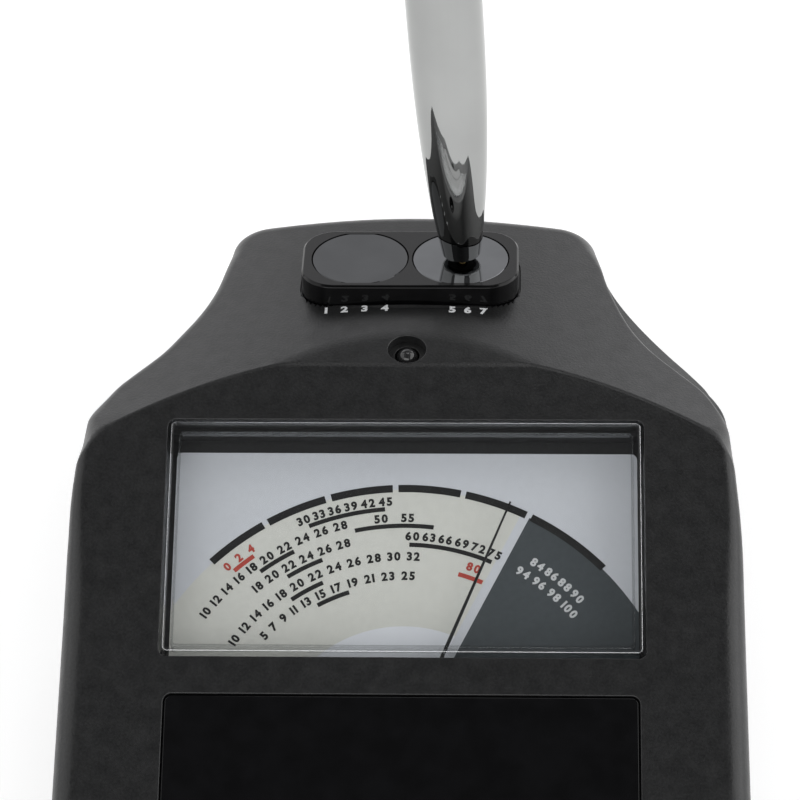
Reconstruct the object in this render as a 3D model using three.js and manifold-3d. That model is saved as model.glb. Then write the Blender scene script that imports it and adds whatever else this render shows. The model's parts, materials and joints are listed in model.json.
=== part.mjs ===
import * as THREE from 'three';
import { mergeVertices } from 'three/addons/utils/BufferGeometryUtils.js';
import Module from 'manifold-3d';

const wasm = await Module();
wasm.setup();

const radians = THREE.MathUtils.degToRad;

// Driving dimensions, millimetres. X is across, Y runs from the lower end to the head, Z is up.

// Stance and height of the housing
const faceTilt = radians(14);
const headSlope = radians(20);
const headArchRadius = 128.4;
const ridgeHeight = 45.5;
const footHeight = 1.0;
const seamHeight = 9.0;
const seamGap = 0.3;

// Plan outline of the housing, measured from the ridge
const bodyHalfWidth = 44.0;
const lowerReach = 110.0;
const lowerBow = 1.2;
const lowerBowRadius = 800.0;
const lowerCornerRadius = 14.0;
const sideStart = 24.0;
const sideBlendRadius = 100.0;
const shoulderInset = 1.9;
const shoulderSetback = 3.6;
const shoulderRadius = 11.7;
const neckHalfWidth = 28.3;
const neckReach = 10.3;
const neckRadius = 33.0;
const headHalfWidth = 24.6;
const headReach = 32.4;
const headBow = 1.1;
const headBowRadius = 250.0;
const headCornerRadius = 5.0;

// Walls, draft and edges of the housing
const wall = 2.2;
const floorThickness = 2.4;
const sideDraft = radians(2);
const draftDatum = 40.0;
const faceEdgeRadius = 3.8;
const headEdgeRadius = 2.4;
const lowerEdgeRadius = 2.5;
const innerEdgeRadius = 1.4;
const lipHeight = 1.6;
const lipThickness = 0.9;
const lipClearance = 0.2;

// Narrow ledge outside the head's right edge
const ledgeDrop = 1.0;
const ledgeReach = 1.6;
const ledgeFarReach = 27.0;
const ledgeNearReach = 12.0;
const ledgeBulgePower = 0.8;

// Clearances
const fitGap = 0.1;
const restGap = 0.3;
const runningGap = 0.3;
const overrun = 4.0;

// Lamp facet at the middle of the ridge
const facetSlope = radians(22.8);
const facetSetback = 1.96;
const facetHalfWidth = 20.0;
const facetLength = 14.0;
const lampHoleRadius = 2.55;
const lampHoleSetback = 2.85;

// Ready lamp and its board
const lampRadius = 1.5;
const lampFlangeRadius = 1.9;
const lampFlangeHeight = 0.8;
const lampBodyHeight = 3.2;
const lampRecess = 0.7;
const lampBoardWidth = 15.0;
const lampBoardLength = 6.4;
const lampBoardThickness = 1.0;
const lampPostRadius = 1.5;
const lampPostSpacing = 10.6;

// Meter window in the face, measured down the face from the ridge
const windowTop = 9.9;
const windowBottom = 42.5;
const windowCornerRadius = 1.0;
const coverSideGap = 0.45;
const coverTopGap = 1.1;
const coverBottomGap = 0.6;
const windowMargin = 12.65;
const windowHalfWidth = bodyHalfWidth - windowMargin;

// Clear meter cover
const coverRise = 0.3;
const coverThickness = 1.2;
const coverSkirt = 0.9;
const coverCornerRadius = 0.7;
const coverFlange = 1.2;
const coverFlangeThickness = 0.9;

// Meter: dial and case
const dialDepth = 6.3;
const dialThickness = 0.6;
const dialBottom = 46.4;
const meterCaseWall = 1.5;
const meterCaseBottom = 66.0;
const meterCaseClearance = 3.9;
const meterShelf = 2.6;
const meterLugReach = 6.6;
const meterLugLength = 8.0;
const meterLugThickness = 1.6;
const meterLugStation = 40.0;
const meterBossRadius = 2.8;

// Meter movement
const pivotStation = 53.6;
const needleScaleHalfAngle = 46.0;
const needleReading = 22.3;
const needleReach = 36.5;
const needleTail = 7.6;
const needleWidth = 0.62;
const needleTipShare = 0.35;
const needleThickness = 0.35;
const needleHeight = 1.95;
const needleHubRadius = 2.0;
const counterweightLength = 2.2;
const counterweightWidth = 1.8;
const coreRadius = 5.5;
const coreHeight = 8.0;
const coreDepth = 9.0;
const formerThickness = 0.35;
const formerBand = 3.4;
const windingThickness = 0.9;
const windingBand = 2.8;
const coilGap = 0.45;
const yokeRadius = 10.0;
const yokeThickness = 2.0;
const yokeArmWidth = 3.0;
const yokeArmHeight = 4.0;
const yokeFootWidth = 3.0;
const yokeFootLength = 7.0;
const pivotRadius = 0.4;
const jewelRadius = 1.2;
const jewelHeight = 0.7;
const jewelBoreRadius = 0.6;
const bridgeThickness = 0.5;
const bridgeWidth = 4.0;
const bridgeHeight = 2.5;
const bridgePostRadius = 0.9;
const bridgePostRadiusFromAxis = 9.0;
const stopRadius = 0.5;
const stopMargin = 1.0;
const hairspringThickness = 0.2;
const hairspringHeight = 0.5;
const hairspringInner = 1.1;
const hairspringOuter = 3.6;
const hairspringTurns = 3;
const hairspringSteps = 14;
const hairspringDrop = 0.55;

// Label panel
const labelTop = 47.6;
const labelHeight = 30.0;
const labelMargin = 13.6;
const labelHalfWidth = bodyHalfWidth - labelMargin;
const labelThickness = 0.8;
const labelInset = 0.1;
const labelCornerRadius = 1.0;

// Power button, circuit board and its parts
const buttonStation = 88.0;
const buttonRadius = 5.6;
const buttonRise = 0.6;
const buttonCrown = 0.4;
const buttonFlangeReach = 1.2;
const buttonFlangeThickness = 0.8;
const buttonTravel = 0.8;
const boardTop = 67.0;
const boardBottom = 93.4;
const boardMargin = 14.0;
const boardHalfWidth = bodyHalfWidth - boardMargin;
const boardThickness = 1.6;
const boardBossStation = 70.5;
const boardBossInset = 4.0;
const boardBossRadius = 2.6;
const switchSize = 6.0;
const switchHeight = 1.6;
const switchBodyShare = 0.75;
const switchCapRadius = 1.7;
const chipSize = 10.0;
const chipHeight = 1.2;
const chipInset = 18.0;
const chipStation = 76.0;
const buzzerRadius = 6.0;
const buzzerHeight = 2.6;
const buzzerInset = 13.0;
const buzzerBoreRadius = 0.8;
const buzzerBoreDepth = 1.0;

// Small screws inside
const smallScrewRadius = 0.9;
const smallScrewLength = 4.2;
const smallScrewHeadRadius = 1.9;
const smallScrewHeadHeight = 1.1;
const smallScrewClearance = 0.2;

// Test plate and its two discs on the head
const plateStation = 18.9;
const plateHalfWidth = 14.87;
const plateLength = 14.4;
const plateCornerRadius = 4.5;
const plateRise = 2.6;
const plateSink = 0.9;
const plateGap = 0.15;
const discRadius = 6.59;
const discThickness = 1.5;
const discOffset = 6.9;
const discInset = 0.05;
const pegRadius = 1.9;
const pegLength = 3.6;

// Case screws and feet
const screwRadius = 1.25;
const screwLength = 11.0;
const screwHeadRadius = 2.7;
const screwHeadHeight = 1.6;
const screwPocketDepth = 3.0;
const screwBossRadius = 3.4;
const screwFloorBossRadius = 4.6;
const farScrewInset = 6.6;
const farScrewSetback = 8.4;
const nearScrewInset = 11.0;
const nearScrewSetback = 12.0;
const footRadius = 4.0;
const footPocketDepth = 0.6;
const farFootInset = 6.3;
const farFootSetback = 1.3;
const nearFootInset = 9.0;
const nearFootSetback = 26.0;

// Batteries, contacts and battery cover
const cellRadius = 5.25;
const cellLength = 43.3;
const cellNubRadius = 1.9;
const cellNubLength = 1.0;
const cellSpacing = 11.1;
const nearCellSetback = 12.8;
const cellLift = 0.4;
const bayWall = 1.2;
const bayCeiling = 1.0;
const bayHeadroom = 0.4;
const bayEndSpace = 1.0;
const contactThickness = 0.4;
const contactHeight = 9.0;
const springWireRadius = 0.3;
const springRadius = 2.6;
const springLength = 3.0;
const springTurns = 3;
const springSteps = 21;
const coverPlateHalfWidth = 26.0;
const coverPlateThickness = 1.8;
const coverPlateFarMargin = 1.4;
const coverPlateSlack = 0.25;
const coverTongueReach = 1.1;
const coverTongueThickness = 0.6;
const coverTongueHeight = 0.7;
const coverTongueLength = 32.0;
const coverGripWidth = 16.0;
const coverGripLength = 1.2;
const coverGripDepth = 0.5;
const coverGripSpacing = 2.4;
const coverGripSetback = 34.0;
const coverGripCount = 4;

// Probe socket in the head's end wall
const socketHeight = 19.0;
const socketRadius = 4.0;
const socketBoreRadius = 1.75;
const socketBoreDepth = 8.0;
const socketLength = 12.0;
const socketRise = 0.5;
const socketFlangeReach = 1.6;
const socketFlangeThickness = 1.2;

// Probe pen, measured along its axis from the disc
const penStation = 18.9;
const penOffset = 7.1;
const penLean = radians(3.1);
const penTipGap = 0.25;
const penTipProtrusion = 0.5;
const penTipRadius = 0.55;
const penTipCollarRadius = 1.5;
const penTipCollarLength = 1.2;
const penNoseEndRadius = 2.1;
const penNoseRadius = 2.6;
const penNoseRound = 0.6;
const penNoseRoundInShare = 0.2;
const penNoseRoundUpShare = 0.3;
const penNoseLength = 45.0;
const penRadius = 5.1;
const penBarrelLength = 88.0;
const penWall = 1.2;
const penBushRadius = 1.8;
const penBushLength = 7.4;
const penCarrierRadius = 2.6;
const penCarrierLength = 11.0;
const penSpringRadius = 1.0;
const penSpringWireRadius = 0.2;
const penSpringLength = 3.4;
const penBoardWidth = 5.4;
const penBoardThickness = 1.2;
const penBoardMargin = 4.4;
const penCapLength = 9.0;
const penCapSpigotLength = 5.0;
const penCapEndRadius = 4.2;
const penCordHoleRadius = 1.7;
const penGlandLength = 11.0;
const penGlandRadius = 3.1;
const penGlandEndRadius = 2.4;
const penGlandGrooveDepth = 0.5;
const penGlandGrooves = 2;

// Smoothness of curved shapes
const roundSides = 20;
const fineSides = 28;
const smallSides = 10;
const filletSteps = 2;
const capColumns = 8;

// Materials
function finish(color, roughness, metalness) {
  return new THREE.MeshStandardMaterial({ color, roughness, metalness });
}

function clear(color, opacity) {
  const material = finish(color, 0.08, 0);
  material.transparent = true;
  material.opacity = opacity;
  return material;
}

const housingBlack = () => finish(0x2c2d2e, 0.55, 0);
const glossBlack = () => finish(0x0b0b0d, 0.08, 0);
const innerBlack = () => finish(0x1b1b1c, 0.6, 0);
const rubberBlack = () => finish(0x141414, 0.85, 0);
const screwSteel = () => finish(0x8a8c8f, 0.35, 1);
const chrome = () => finish(0xd8dadc, 0.05, 1);
const copper = () => finish(0xb4693a, 0.35, 1);
const brass = () => finish(0xb08d4a, 0.3, 1);
const boardGreen = () => finish(0x1e5a37, 0.5, 0);

// Solids from closed geometries
function toSolid(geometry) {
  geometry.deleteAttribute('normal');
  geometry.deleteAttribute('uv');
  const merged = mergeVertices(geometry);
  const source = merged.index.array;
  const triangles = [];
  for (let i = 0; i < source.length; i += 3) {
    const [a, b, c] = [source[i], source[i + 1], source[i + 2]];
    if (a !== b && b !== c && c !== a) triangles.push(a, b, c);
  }
  return new wasm.Manifold(new wasm.Mesh({
    numProp: 3,
    vertProperties: new Float32Array(merged.attributes.position.array),
    triVerts: new Uint32Array(triangles),
  }));
}

function toGeometry(solid) {
  const mesh = solid.getMesh();
  const geometry = new THREE.BufferGeometry();
  geometry.setAttribute('position', new THREE.BufferAttribute(mesh.vertProperties, 3));
  geometry.setIndex(new THREE.BufferAttribute(mesh.triVerts, 1));
  return geometry;
}

const join = (first, ...others) => others.reduce((sum, next) => sum.add(next), first);
const cut = (body, ...tools) => tools.reduce((rest, tool) => rest.subtract(tool), body);
const overlap = (first, ...others) => others.reduce((rest, next) => rest.intersect(next), first);

// Box from its centre in plan, its lowest level and its sizes
function box(width, length, height, x, y, bottom) {
  const geometry = new THREE.BoxGeometry(width, length, height);
  return toSolid(geometry.translate(x, y, bottom + height / 2));
}

// Upright rod from its centre in plan and its lowest level
function rod(radius, height, x, y, bottom, sides = roundSides) {
  const geometry = new THREE.CylinderGeometry(radius, radius, height, sides);
  return toSolid(geometry.rotateX(Math.PI / 2).translate(x, y, bottom + height / 2));
}

// Rod along Y from its near end
function rodAlongY(radius, length, x, near, z, sides = roundSides) {
  const geometry = new THREE.CylinderGeometry(radius, radius, length, sides);
  return toSolid(geometry.translate(x, near + length / 2, z));
}

// Body turned about the Z axis from a closed list of [radius, height] points
function turned(profile, sides = roundSides) {
  const points = profile.map(([radius, height]) => new THREE.Vector2(radius, height));
  const geometry = new THREE.LatheGeometry(points, sides);
  return toSolid(geometry.rotateX(Math.PI / 2));
}

// Ring profile between an outer and an inner line of [radius, height] points, both going up
function ringProfile(outer, inner) {
  return [...outer, ...[...inner].reverse(), outer[0]];
}

function roundedRectangle(left, right, bottom, top, radius) {
  const shape = new THREE.Shape();
  shape.moveTo(left + radius, bottom);
  shape.lineTo(right - radius, bottom);
  shape.absarc(right - radius, bottom + radius, radius, -Math.PI / 2, 0, false);
  shape.lineTo(right, top - radius);
  shape.absarc(right - radius, top - radius, radius, 0, Math.PI / 2, false);
  shape.lineTo(left + radius, top);
  shape.absarc(left + radius, top - radius, radius, Math.PI / 2, Math.PI, false);
  shape.lineTo(left, bottom + radius);
  shape.absarc(left + radius, bottom + radius, radius, Math.PI, 1.5 * Math.PI, false);
  return shape;
}

function prism(shape, bottom, top, curveSegments = 4) {
  const settings = { depth: top - bottom, bevelEnabled: false, curveSegments };
  return toSolid(new THREE.ExtrudeGeometry(shape, settings).translate(0, 0, bottom));
}

function sheetAlong(left, right, bottom, top, low, high) {
  return box(right - left, top - bottom, high - low, (left + right) / 2, (bottom + top) / 2, low);
}

// Frames of the face, the head and the lamp facet, all starting at the ridge
function frameAt(position, tilt) {
  const group = new THREE.Group();
  group.position.copy(position);
  group.rotation.x = tilt;
  group.updateMatrix();
  return group;
}

const ridge = new THREE.Vector3(0, 0, ridgeHeight);
const face = frameAt(ridge, faceTilt);
const head = frameAt(ridge, -headSlope);
const facetStart = new THREE.Vector3(0, -facetSetback, 0).applyMatrix4(face.matrix);
const facet = frameAt(facetStart, faceTilt - facetSlope);
const placed = (solid, frame) => solid.transform(frame.matrix.elements);

// Levels of the face plane and the arched head surface, and the housing's outline in plan
const faceLevel = (x, y) => ridgeHeight + y * Math.tan(faceTilt);
const headLevel = (x, y) => ridgeHeight - y * Math.tan(headSlope)
  - x * x / (2 * headArchRadius * Math.cos(headSlope));

const outlineCorners = [
  { x: 0, y: headReach, radius: headBowRadius, steps: 4 },
  { x: headHalfWidth, y: headReach - headBow, radius: headCornerRadius, steps: 4 },
  { x: neckHalfWidth, y: neckReach, radius: neckRadius, steps: 6 },
  { x: bodyHalfWidth - shoulderInset, y: -shoulderSetback, radius: shoulderRadius, steps: 5 },
  { x: bodyHalfWidth, y: -sideStart, radius: sideBlendRadius, steps: 2 },
  { x: bodyHalfWidth, y: -lowerReach + lowerBow, radius: lowerCornerRadius, steps: 6 },
  { x: 0, y: -lowerReach, radius: lowerBowRadius, steps: 2 },
];

// Arc that rounds the corner between two neighbours
function roundedCorner(before, corner, after) {
  const at = new THREE.Vector2(corner.x, corner.y);
  const back = new THREE.Vector2(before.x, before.y).sub(at).normalize();
  const ahead = new THREE.Vector2(after.x, after.y).sub(at).normalize();
  const half = back.angleTo(ahead) / 2;
  const middle = back.clone().add(ahead).normalize();
  const centre = at.clone().addScaledVector(middle, corner.radius / Math.sin(half));
  const start = at.clone().addScaledVector(back, corner.radius / Math.tan(half)).sub(centre);
  const end = at.clone().addScaledVector(ahead, corner.radius / Math.tan(half)).sub(centre);
  const sweep = Math.atan2(start.cross(end), start.dot(end));
  const origin = new THREE.Vector2(0, 0);
  return Array.from({ length: corner.steps + 1 }, (_, i) =>
    start.clone().rotateAround(origin, sweep * i / corner.steps).add(centre));
}

// Length that a corner's arc takes from each of its two sides
function cornerReach(before, corner, after) {
  const at = new THREE.Vector2(corner.x, corner.y);
  const back = new THREE.Vector2(before.x, before.y).sub(at);
  const ahead = new THREE.Vector2(after.x, after.y).sub(at);
  return corner.radius / Math.tan(back.angleTo(ahead) / 2);
}

// Corners whose arcs leave each other room, with the smaller of two neighbours' shares of a short side
function roomyCorners(loop) {
  const last = loop.length - 1;
  const reaches = loop.map((corner, i) => (i > 0 && i < last ? cornerReach(loop[i - 1], corner, loop[i + 1])
    : 0));
  reaches[0] = reaches[2];
  reaches[last] = reaches[last - 2];
  const side = (i, j) => Math.hypot(loop[i].x - loop[j].x, loop[i].y - loop[j].y);
  const room = (i, j) => side(i, j) / (reaches[i] + reaches[j]);
  return loop.map((corner, i) => {
    const share = Math.min(1, room(i, Math.max(i - 1, 0)), room(i, Math.min(i + 1, last)));
    return i > 0 && i < last ? { ...corner, radius: corner.radius * share } : corner;
  });
}

// Right half of the outline, from the head's middle to the lower end's middle
function rightOutline() {
  const corners = outlineCorners;
  const mirror = (corner) => ({ ...corner, x: -corner.x });
  const loop = roomyCorners([mirror(corners[1]), ...corners, mirror(corners[corners.length - 2])]);
  const points = [];
  for (let i = 1; i < loop.length - 1; i += 1) {
    const arc = roundedCorner(loop[i - 1], loop[i], loop[i + 1]);
    const first = i === 1 ? arc.length >> 1 : 0;
    const last = i === loop.length - 2 ? arc.length >> 1 : arc.length - 1;
    points.push(...arc.slice(first, last + 1));
  }
  points[0].x = 0;
  points[points.length - 1].x = 0;
  return points;
}

// Outward mitre of each outline point, so that a scaled mitre gives a parallel outline
function withMitres(points) {
  return points.map((point, i) => {
    const before = points[i - 1] ?? new THREE.Vector2(-points[1].x, points[1].y);
    const after = points[i + 1] ?? new THREE.Vector2(-points[i - 1].x, points[i - 1].y);
    const one = point.clone().sub(before).normalize();
    const two = after.clone().sub(point).normalize();
    const normalOne = new THREE.Vector2(-one.y, one.x);
    const normalTwo = new THREE.Vector2(-two.y, two.x);
    const mitre = normalOne.add(normalTwo);
    mitre.multiplyScalar(2 / mitre.lengthSq());
    return { x: point.x, y: point.y, mitreX: mitre.x, mitreY: mitre.y };
  });
}

const outline = withMitres(rightOutline());

// The wall leans in above the seam and below it
const seamSpread = (draftDatum - seamHeight) * Math.tan(sideDraft);
function wallSpread(z) {
  if (z >= seamHeight) return (draftDatum - z) * Math.tan(sideDraft);
  return seamSpread - (seamHeight - z) * Math.tan(sideDraft);
}

const outlinePoint = (point, spread, z) =>
  new THREE.Vector3(point.x + point.mitreX * spread, point.y + point.mitreY * spread, z);

function levelRing(z, inset) {
  return outline.map((point) => outlinePoint(point, wallSpread(z) - inset, z));
}

// Ring that lies a drop below a surface, found along each drafted wall line
function surfaceRing(level, drop, inset) {
  return outline.map((point) => {
    let z = draftDatum;
    for (let i = 0; i < 8; i += 1) {
      const guess = outlinePoint(point, wallSpread(z) - inset, z);
      z = level(guess.x, guess.y) - drop;
    }
    return outlinePoint(point, wallSpread(z) - inset, z);
  });
}

const mirrored = (point) => new THREE.Vector3(-point.x, point.y, point.z);

// Rows of points from the right side to the left side of a ring
function capRows(ring, level, columns) {
  return ring.map((right) => Array.from({ length: columns + 1 }, (_, j) => {
    const share = 1 - 2 * j / columns;
    if (j === 0) return right;
    if (j === columns) return mirrored(right);
    return new THREE.Vector3(right.x * share, right.y, level(right.x * share, right.y, right.z));
  }));
}

function pushQuad(list, a, b, c, d) {
  list.push(a, b, c, a, c, d);
}

function pushCap(list, rows, upward) {
  for (let i = 0; i + 1 < rows.length; i += 1) {
    for (let j = 0; j + 1 < rows[i].length; j += 1) {
      const [a, b] = [rows[i][j], rows[i][j + 1]];
      const [c, d] = [rows[i + 1][j + 1], rows[i + 1][j]];
      if (upward) pushQuad(list, a, b, c, d);
      else pushQuad(list, d, c, b, a);
    }
  }
}

function pushWall(list, lower, upper) {
  for (let i = 0; i + 1 < lower.length; i += 1) {
    pushQuad(list, lower[i + 1], lower[i], upper[i], upper[i + 1]);
    const [a, b, c, d] = [lower[i], lower[i + 1], upper[i + 1], upper[i]].map(mirrored);
    pushQuad(list, a, b, c, d);
  }
}

// Solid inside a stack of rings, closed by a flat floor and a cap that follows a level
function loft(rings, level, columns) {
  const points = [];
  pushCap(points, capRows(rings[0], (x, y, z) => z, 1), false);
  for (let i = 0; i + 1 < rings.length; i += 1) pushWall(points, rings[i], rings[i + 1]);
  pushCap(points, capRows(rings[rings.length - 1], level, columns), true);
  const geometry = new THREE.BufferGeometry();
  geometry.setFromPoints(points);
  return toSolid(geometry);
}

// Solid under a surface, with drafted walls and rounded upper and lower edges
function solidUnder(level, columns, inset, sink, edge, bottom, bottomEdge) {
  const quarter = Math.PI / 2;
  const rings = [];
  for (let i = 0; i <= filletSteps; i += 1) {
    const angle = quarter * i / filletSteps;
    const z = bottom + bottomEdge * (1 - Math.sin(angle));
    if (bottomEdge > 0) rings.push(levelRing(z, inset + bottomEdge * (1 - Math.cos(angle))));
  }
  rings.reverse();
  if (bottomEdge === 0) rings.push(levelRing(bottom, inset));
  if (bottom + bottomEdge < seamHeight) rings.push(levelRing(seamHeight, inset));
  for (let i = 0; i <= filletSteps; i += 1) {
    const angle = quarter * i / filletSteps;
    const drop = sink + edge * (1 - Math.sin(angle));
    rings.push(surfaceRing(level, drop, inset + edge * (1 - Math.cos(angle))));
  }
  return loft(rings, (x, y) => level(x, y) - sink, columns);
}

function housingSolid(inset, sink, bottom, bottomEdge, faceEdge, headEdge) {
  const faceSink = sink / Math.cos(faceTilt);
  const headSink = sink / Math.cos(headSlope);
  const underFace = solidUnder(faceLevel, 1, inset, faceSink, faceEdge, bottom, bottomEdge);
  const underHead = solidUnder(headLevel, capColumns, inset, headSink, headEdge, bottom, bottomEdge);
  return overlap(underFace, underHead);
}

// Ledge along the right flank: an upright strip of wall that ends below the head surface
function flankLedge() {
  const near = outline.filter((point) => point.x > 0 && point.y < ledgeFarReach
    && point.y > -ledgeNearReach);
  const span = near[0].y - near[near.length - 1].y;
  const bulge = (point) => ledgeReach
    * Math.sin(Math.PI * (near[0].y - point.y) / span) ** ledgeBulgePower;
  const outerLine = near.map((point) => outlinePoint(point, bulge(point), 0));
  const innerLine = near.map((point) => outlinePoint(point, -wall / 2, 0)).reverse();
  const shape = new THREE.Shape([...outerLine, ...innerLine].map((p) => new THREE.Vector2(p.x, p.y)));
  const column = prism(shape, seamHeight, ridgeHeight);
  const headSink = ledgeDrop / Math.cos(headSlope);
  const underHead = solidUnder(headLevel, capColumns, -overrun, headSink, 0, 0, 0);
  const underFace = solidUnder(faceLevel, 1, -overrun, ledgeDrop, 0, 0, 0);
  return overlap(column, underHead, underFace);
}

// Everything above the lamp facet's plane, near the ridge
function facetCutter() {
  return placed(sheetAlong(-facetHalfWidth, facetHalfWidth, -facetLength / 2, facetLength, 0, overrun),
    facet);
}

const housingOuter = cut(join(
  housingSolid(0, 0, footHeight, lowerEdgeRadius, faceEdgeRadius, headEdgeRadius),
  flankLedge(),
), facetCutter());
const floorTop = footHeight + floorThickness;
const housingInner = housingSolid(wall, wall, floorTop, 0, innerEdgeRadius, innerEdgeRadius);

// Slab of the housing's outline between two levels, inset from the outer wall
function outlineSlab(inset, bottom, top) {
  return loft([levelRing(bottom, inset), levelRing(top, inset)], () => top, 1);
}

function outlineBand(outerInset, innerInset, bottom, top) {
  return cut(outlineSlab(outerInset, bottom, top),
    outlineSlab(innerInset, bottom - overrun, top + overrun));
}

// Face layout, as distances up the face from the ridge
const windowUpper = -windowTop;
const windowLower = -windowBottom;
const coverHalfWidth = windowHalfWidth - coverSideGap;
const coverUpper = windowUpper - coverTopGap;
const coverLower = windowLower + coverBottomGap;
const labelUpper = -labelTop;
const labelLower = labelUpper - labelHeight;
const buttonFlangeTop = -wall - restGap;
const switchTop = buttonFlangeTop - buttonFlangeThickness - buttonTravel - restGap;
const boardTopLevel = switchTop - switchHeight - fitGap;

// Bosses of the front shell, made as rods that stop at the outer surface
const screwSeat = footHeight + screwPocketDepth;
const screwTop = screwSeat + screwLength;
const bothSides = (x, y) => [[x, y], [-x, y]];
const screwPlaces = [
  ...bothSides(headHalfWidth - farScrewInset, headReach - farScrewSetback),
  ...bothSides(bodyHalfWidth - nearScrewInset, nearScrewSetback - lowerReach),
];
const footPlaces = [
  ...bothSides(neckHalfWidth - farFootInset, neckReach - farFootSetback),
  ...bothSides(bodyHalfWidth - nearFootInset, nearFootSetback - lowerReach),
];

function frontBosses() {
  const columns = screwPlaces.map(([x, y]) =>
    rod(screwBossRadius, ridgeHeight, x, y, seamHeight + restGap, roundSides));
  return overlap(join(...columns), housingOuter);
}

const meterLugOffset = coverHalfWidth + coverFlange + meterCaseWall + meterLugReach / 2;
const meterLugTopLevel = -dialDepth;
const meterBossPlaces = bothSides(-meterLugOffset, -meterLugStation);
const boardBossPlaces = bothSides(boardBossInset - boardHalfWidth, -boardBossStation);

function faceBosses() {
  const meter = meterBossPlaces.map(([x, y]) =>
    rod(meterBossRadius, dialDepth - restGap, x, y, meterLugTopLevel + restGap, smallSides));
  const board = boardBossPlaces.map(([x, y]) =>
    rod(boardBossRadius, -boardTopLevel - restGap, x, y, boardTopLevel + restGap, smallSides));
  return overlap(placed(join(...meter, ...board), face), housingOuter);
}

// Holes for the small screws in those bosses
const smallScrewHole = smallScrewRadius + smallScrewClearance;
function faceBossHoles() {
  const depth = smallScrewLength;
  const hole = ([x, y], level, under) => rod(smallScrewHole, depth, x, y, level + under, smallSides);
  const meter = meterBossPlaces.map((place) => hole(place, meterLugTopLevel - meterLugThickness, 0));
  const board = boardBossPlaces.map((place) => hole(place, boardTopLevel - boardThickness, 0));
  return placed(join(...meter, ...board), face);
}

const lampBoardLevel = -lampRecess - lampRadius - lampBodyHeight - fitGap;
const lampPostPlaces = bothSides(lampPostSpacing / 2, lampHoleSetback);

function lampPosts() {
  const height = -lampBoardLevel - restGap;
  const posts = lampPostPlaces.map(([x, y]) =>
    rod(lampPostRadius, height, x, y, lampBoardLevel + restGap, smallSides));
  return overlap(placed(join(...posts), facet), housingOuter);
}

function frontCuts() {
  const window = roundedRectangle(-windowHalfWidth, windowHalfWidth, windowLower, windowUpper,
    windowCornerRadius);
  const label = roundedRectangle(-labelHalfWidth - fitGap, labelHalfWidth + fitGap,
    labelLower - fitGap, labelUpper + fitGap, labelCornerRadius + fitGap);
  const labelFloor = -labelThickness - labelInset - restGap;
  return [
    placed(prism(window, -2 * wall, overrun), face),
    placed(prism(label, labelFloor, overrun), face),
    placed(rod(buttonRadius + runningGap, 2 * wall + overrun, 0, -buttonStation, -2 * wall), face),
    placed(rod(lampHoleRadius, wall + 2 * overrun, 0, lampHoleSetback, -wall - overrun), facet),
    placed(platePocket(), head),
    rodAlongY(socketRadius + fitGap, wall + 2 * overrun, 0, headReach - wall - overrun, socketHeight),
    faceBossHoles(),
  ];
}

function platePocket() {
  const shape = roundedRectangle(-plateHalfWidth - plateGap, plateHalfWidth + plateGap,
    plateStation - plateLength / 2 - plateGap, plateStation + plateLength / 2 + plateGap,
    plateCornerRadius + plateGap);
  const pegs = [-discOffset, discOffset].map((x) =>
    rod(pegRadius + plateGap, 2 * wall + overrun, x, plateStation, -2 * wall, smallSides));
  return join(prism(shape, -plateSink - restGap, overrun, 5), ...pegs);
}

function frontShell() {
  const upper = cut(housingOuter, outlineSlab(-overrun, -overrun, seamHeight + seamGap / 2));
  const lip = outlineBand(wall - lipThickness, wall, seamHeight - lipHeight, seamHeight + lipHeight);
  const hollow = join(cut(upper, housingInner), lip, frontBosses(), faceBosses(), lampPosts());
  const screwHoles = screwPlaces.map(([x, y]) =>
    rod(screwRadius + fitGap, screwTop - seamHeight + restGap, x, y, seamHeight, smallSides));
  return cut(hollow, ...frontCuts(), ...screwHoles);
}

// Battery bay in the back shell
const coverPlateTop = footHeight + coverPlateThickness;
const cellBottom = coverPlateTop + cellLift;
const cellCentre = cellBottom + cellRadius;
const cellLeft = -(cellLength + cellNubLength - springLength) / 2;
const bayHalfWidth = (cellLength + cellNubLength + springLength) / 2 + contactThickness + bayEndSpace;
const cellPlaces = [2, 1, 0].map((i) => nearCellSetback - lowerReach + i * cellSpacing);
const bayFar = cellPlaces[0] + cellRadius + cellLift;
const bayNear = cellPlaces[2] - cellRadius - cellLift;
const bayTop = cellCentre + cellRadius + bayHeadroom;

function batteryBay() {
  const outer = sheetAlong(-bayHalfWidth - bayWall, bayHalfWidth + bayWall, bayNear - bayWall,
    bayFar + bayWall, floorTop - floorThickness / 2, bayTop + bayCeiling);
  const inner = sheetAlong(-bayHalfWidth, bayHalfWidth, bayNear, bayFar, 0, bayTop);
  return { outer, inner };
}

const coverPlateFar = bayFar + coverPlateFarMargin;
const coverOpeningFar = coverPlateFar + coverPlateSlack;
const tongueBottom = footHeight + coverTongueHeight;

function coverSlot() {
  const reach = coverPlateHalfWidth + coverPlateSlack;
  const plate = sheetAlong(-reach, reach, -2 * lowerReach, coverOpeningFar, -overrun,
    coverPlateTop + coverPlateSlack);
  const grooveReach = reach + coverTongueReach;
  const groove = sheetAlong(-grooveReach, grooveReach, -2 * lowerReach, coverOpeningFar,
    tongueBottom - coverPlateSlack, tongueBottom + coverTongueThickness + coverPlateSlack);
  return join(plate, groove);
}

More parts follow.
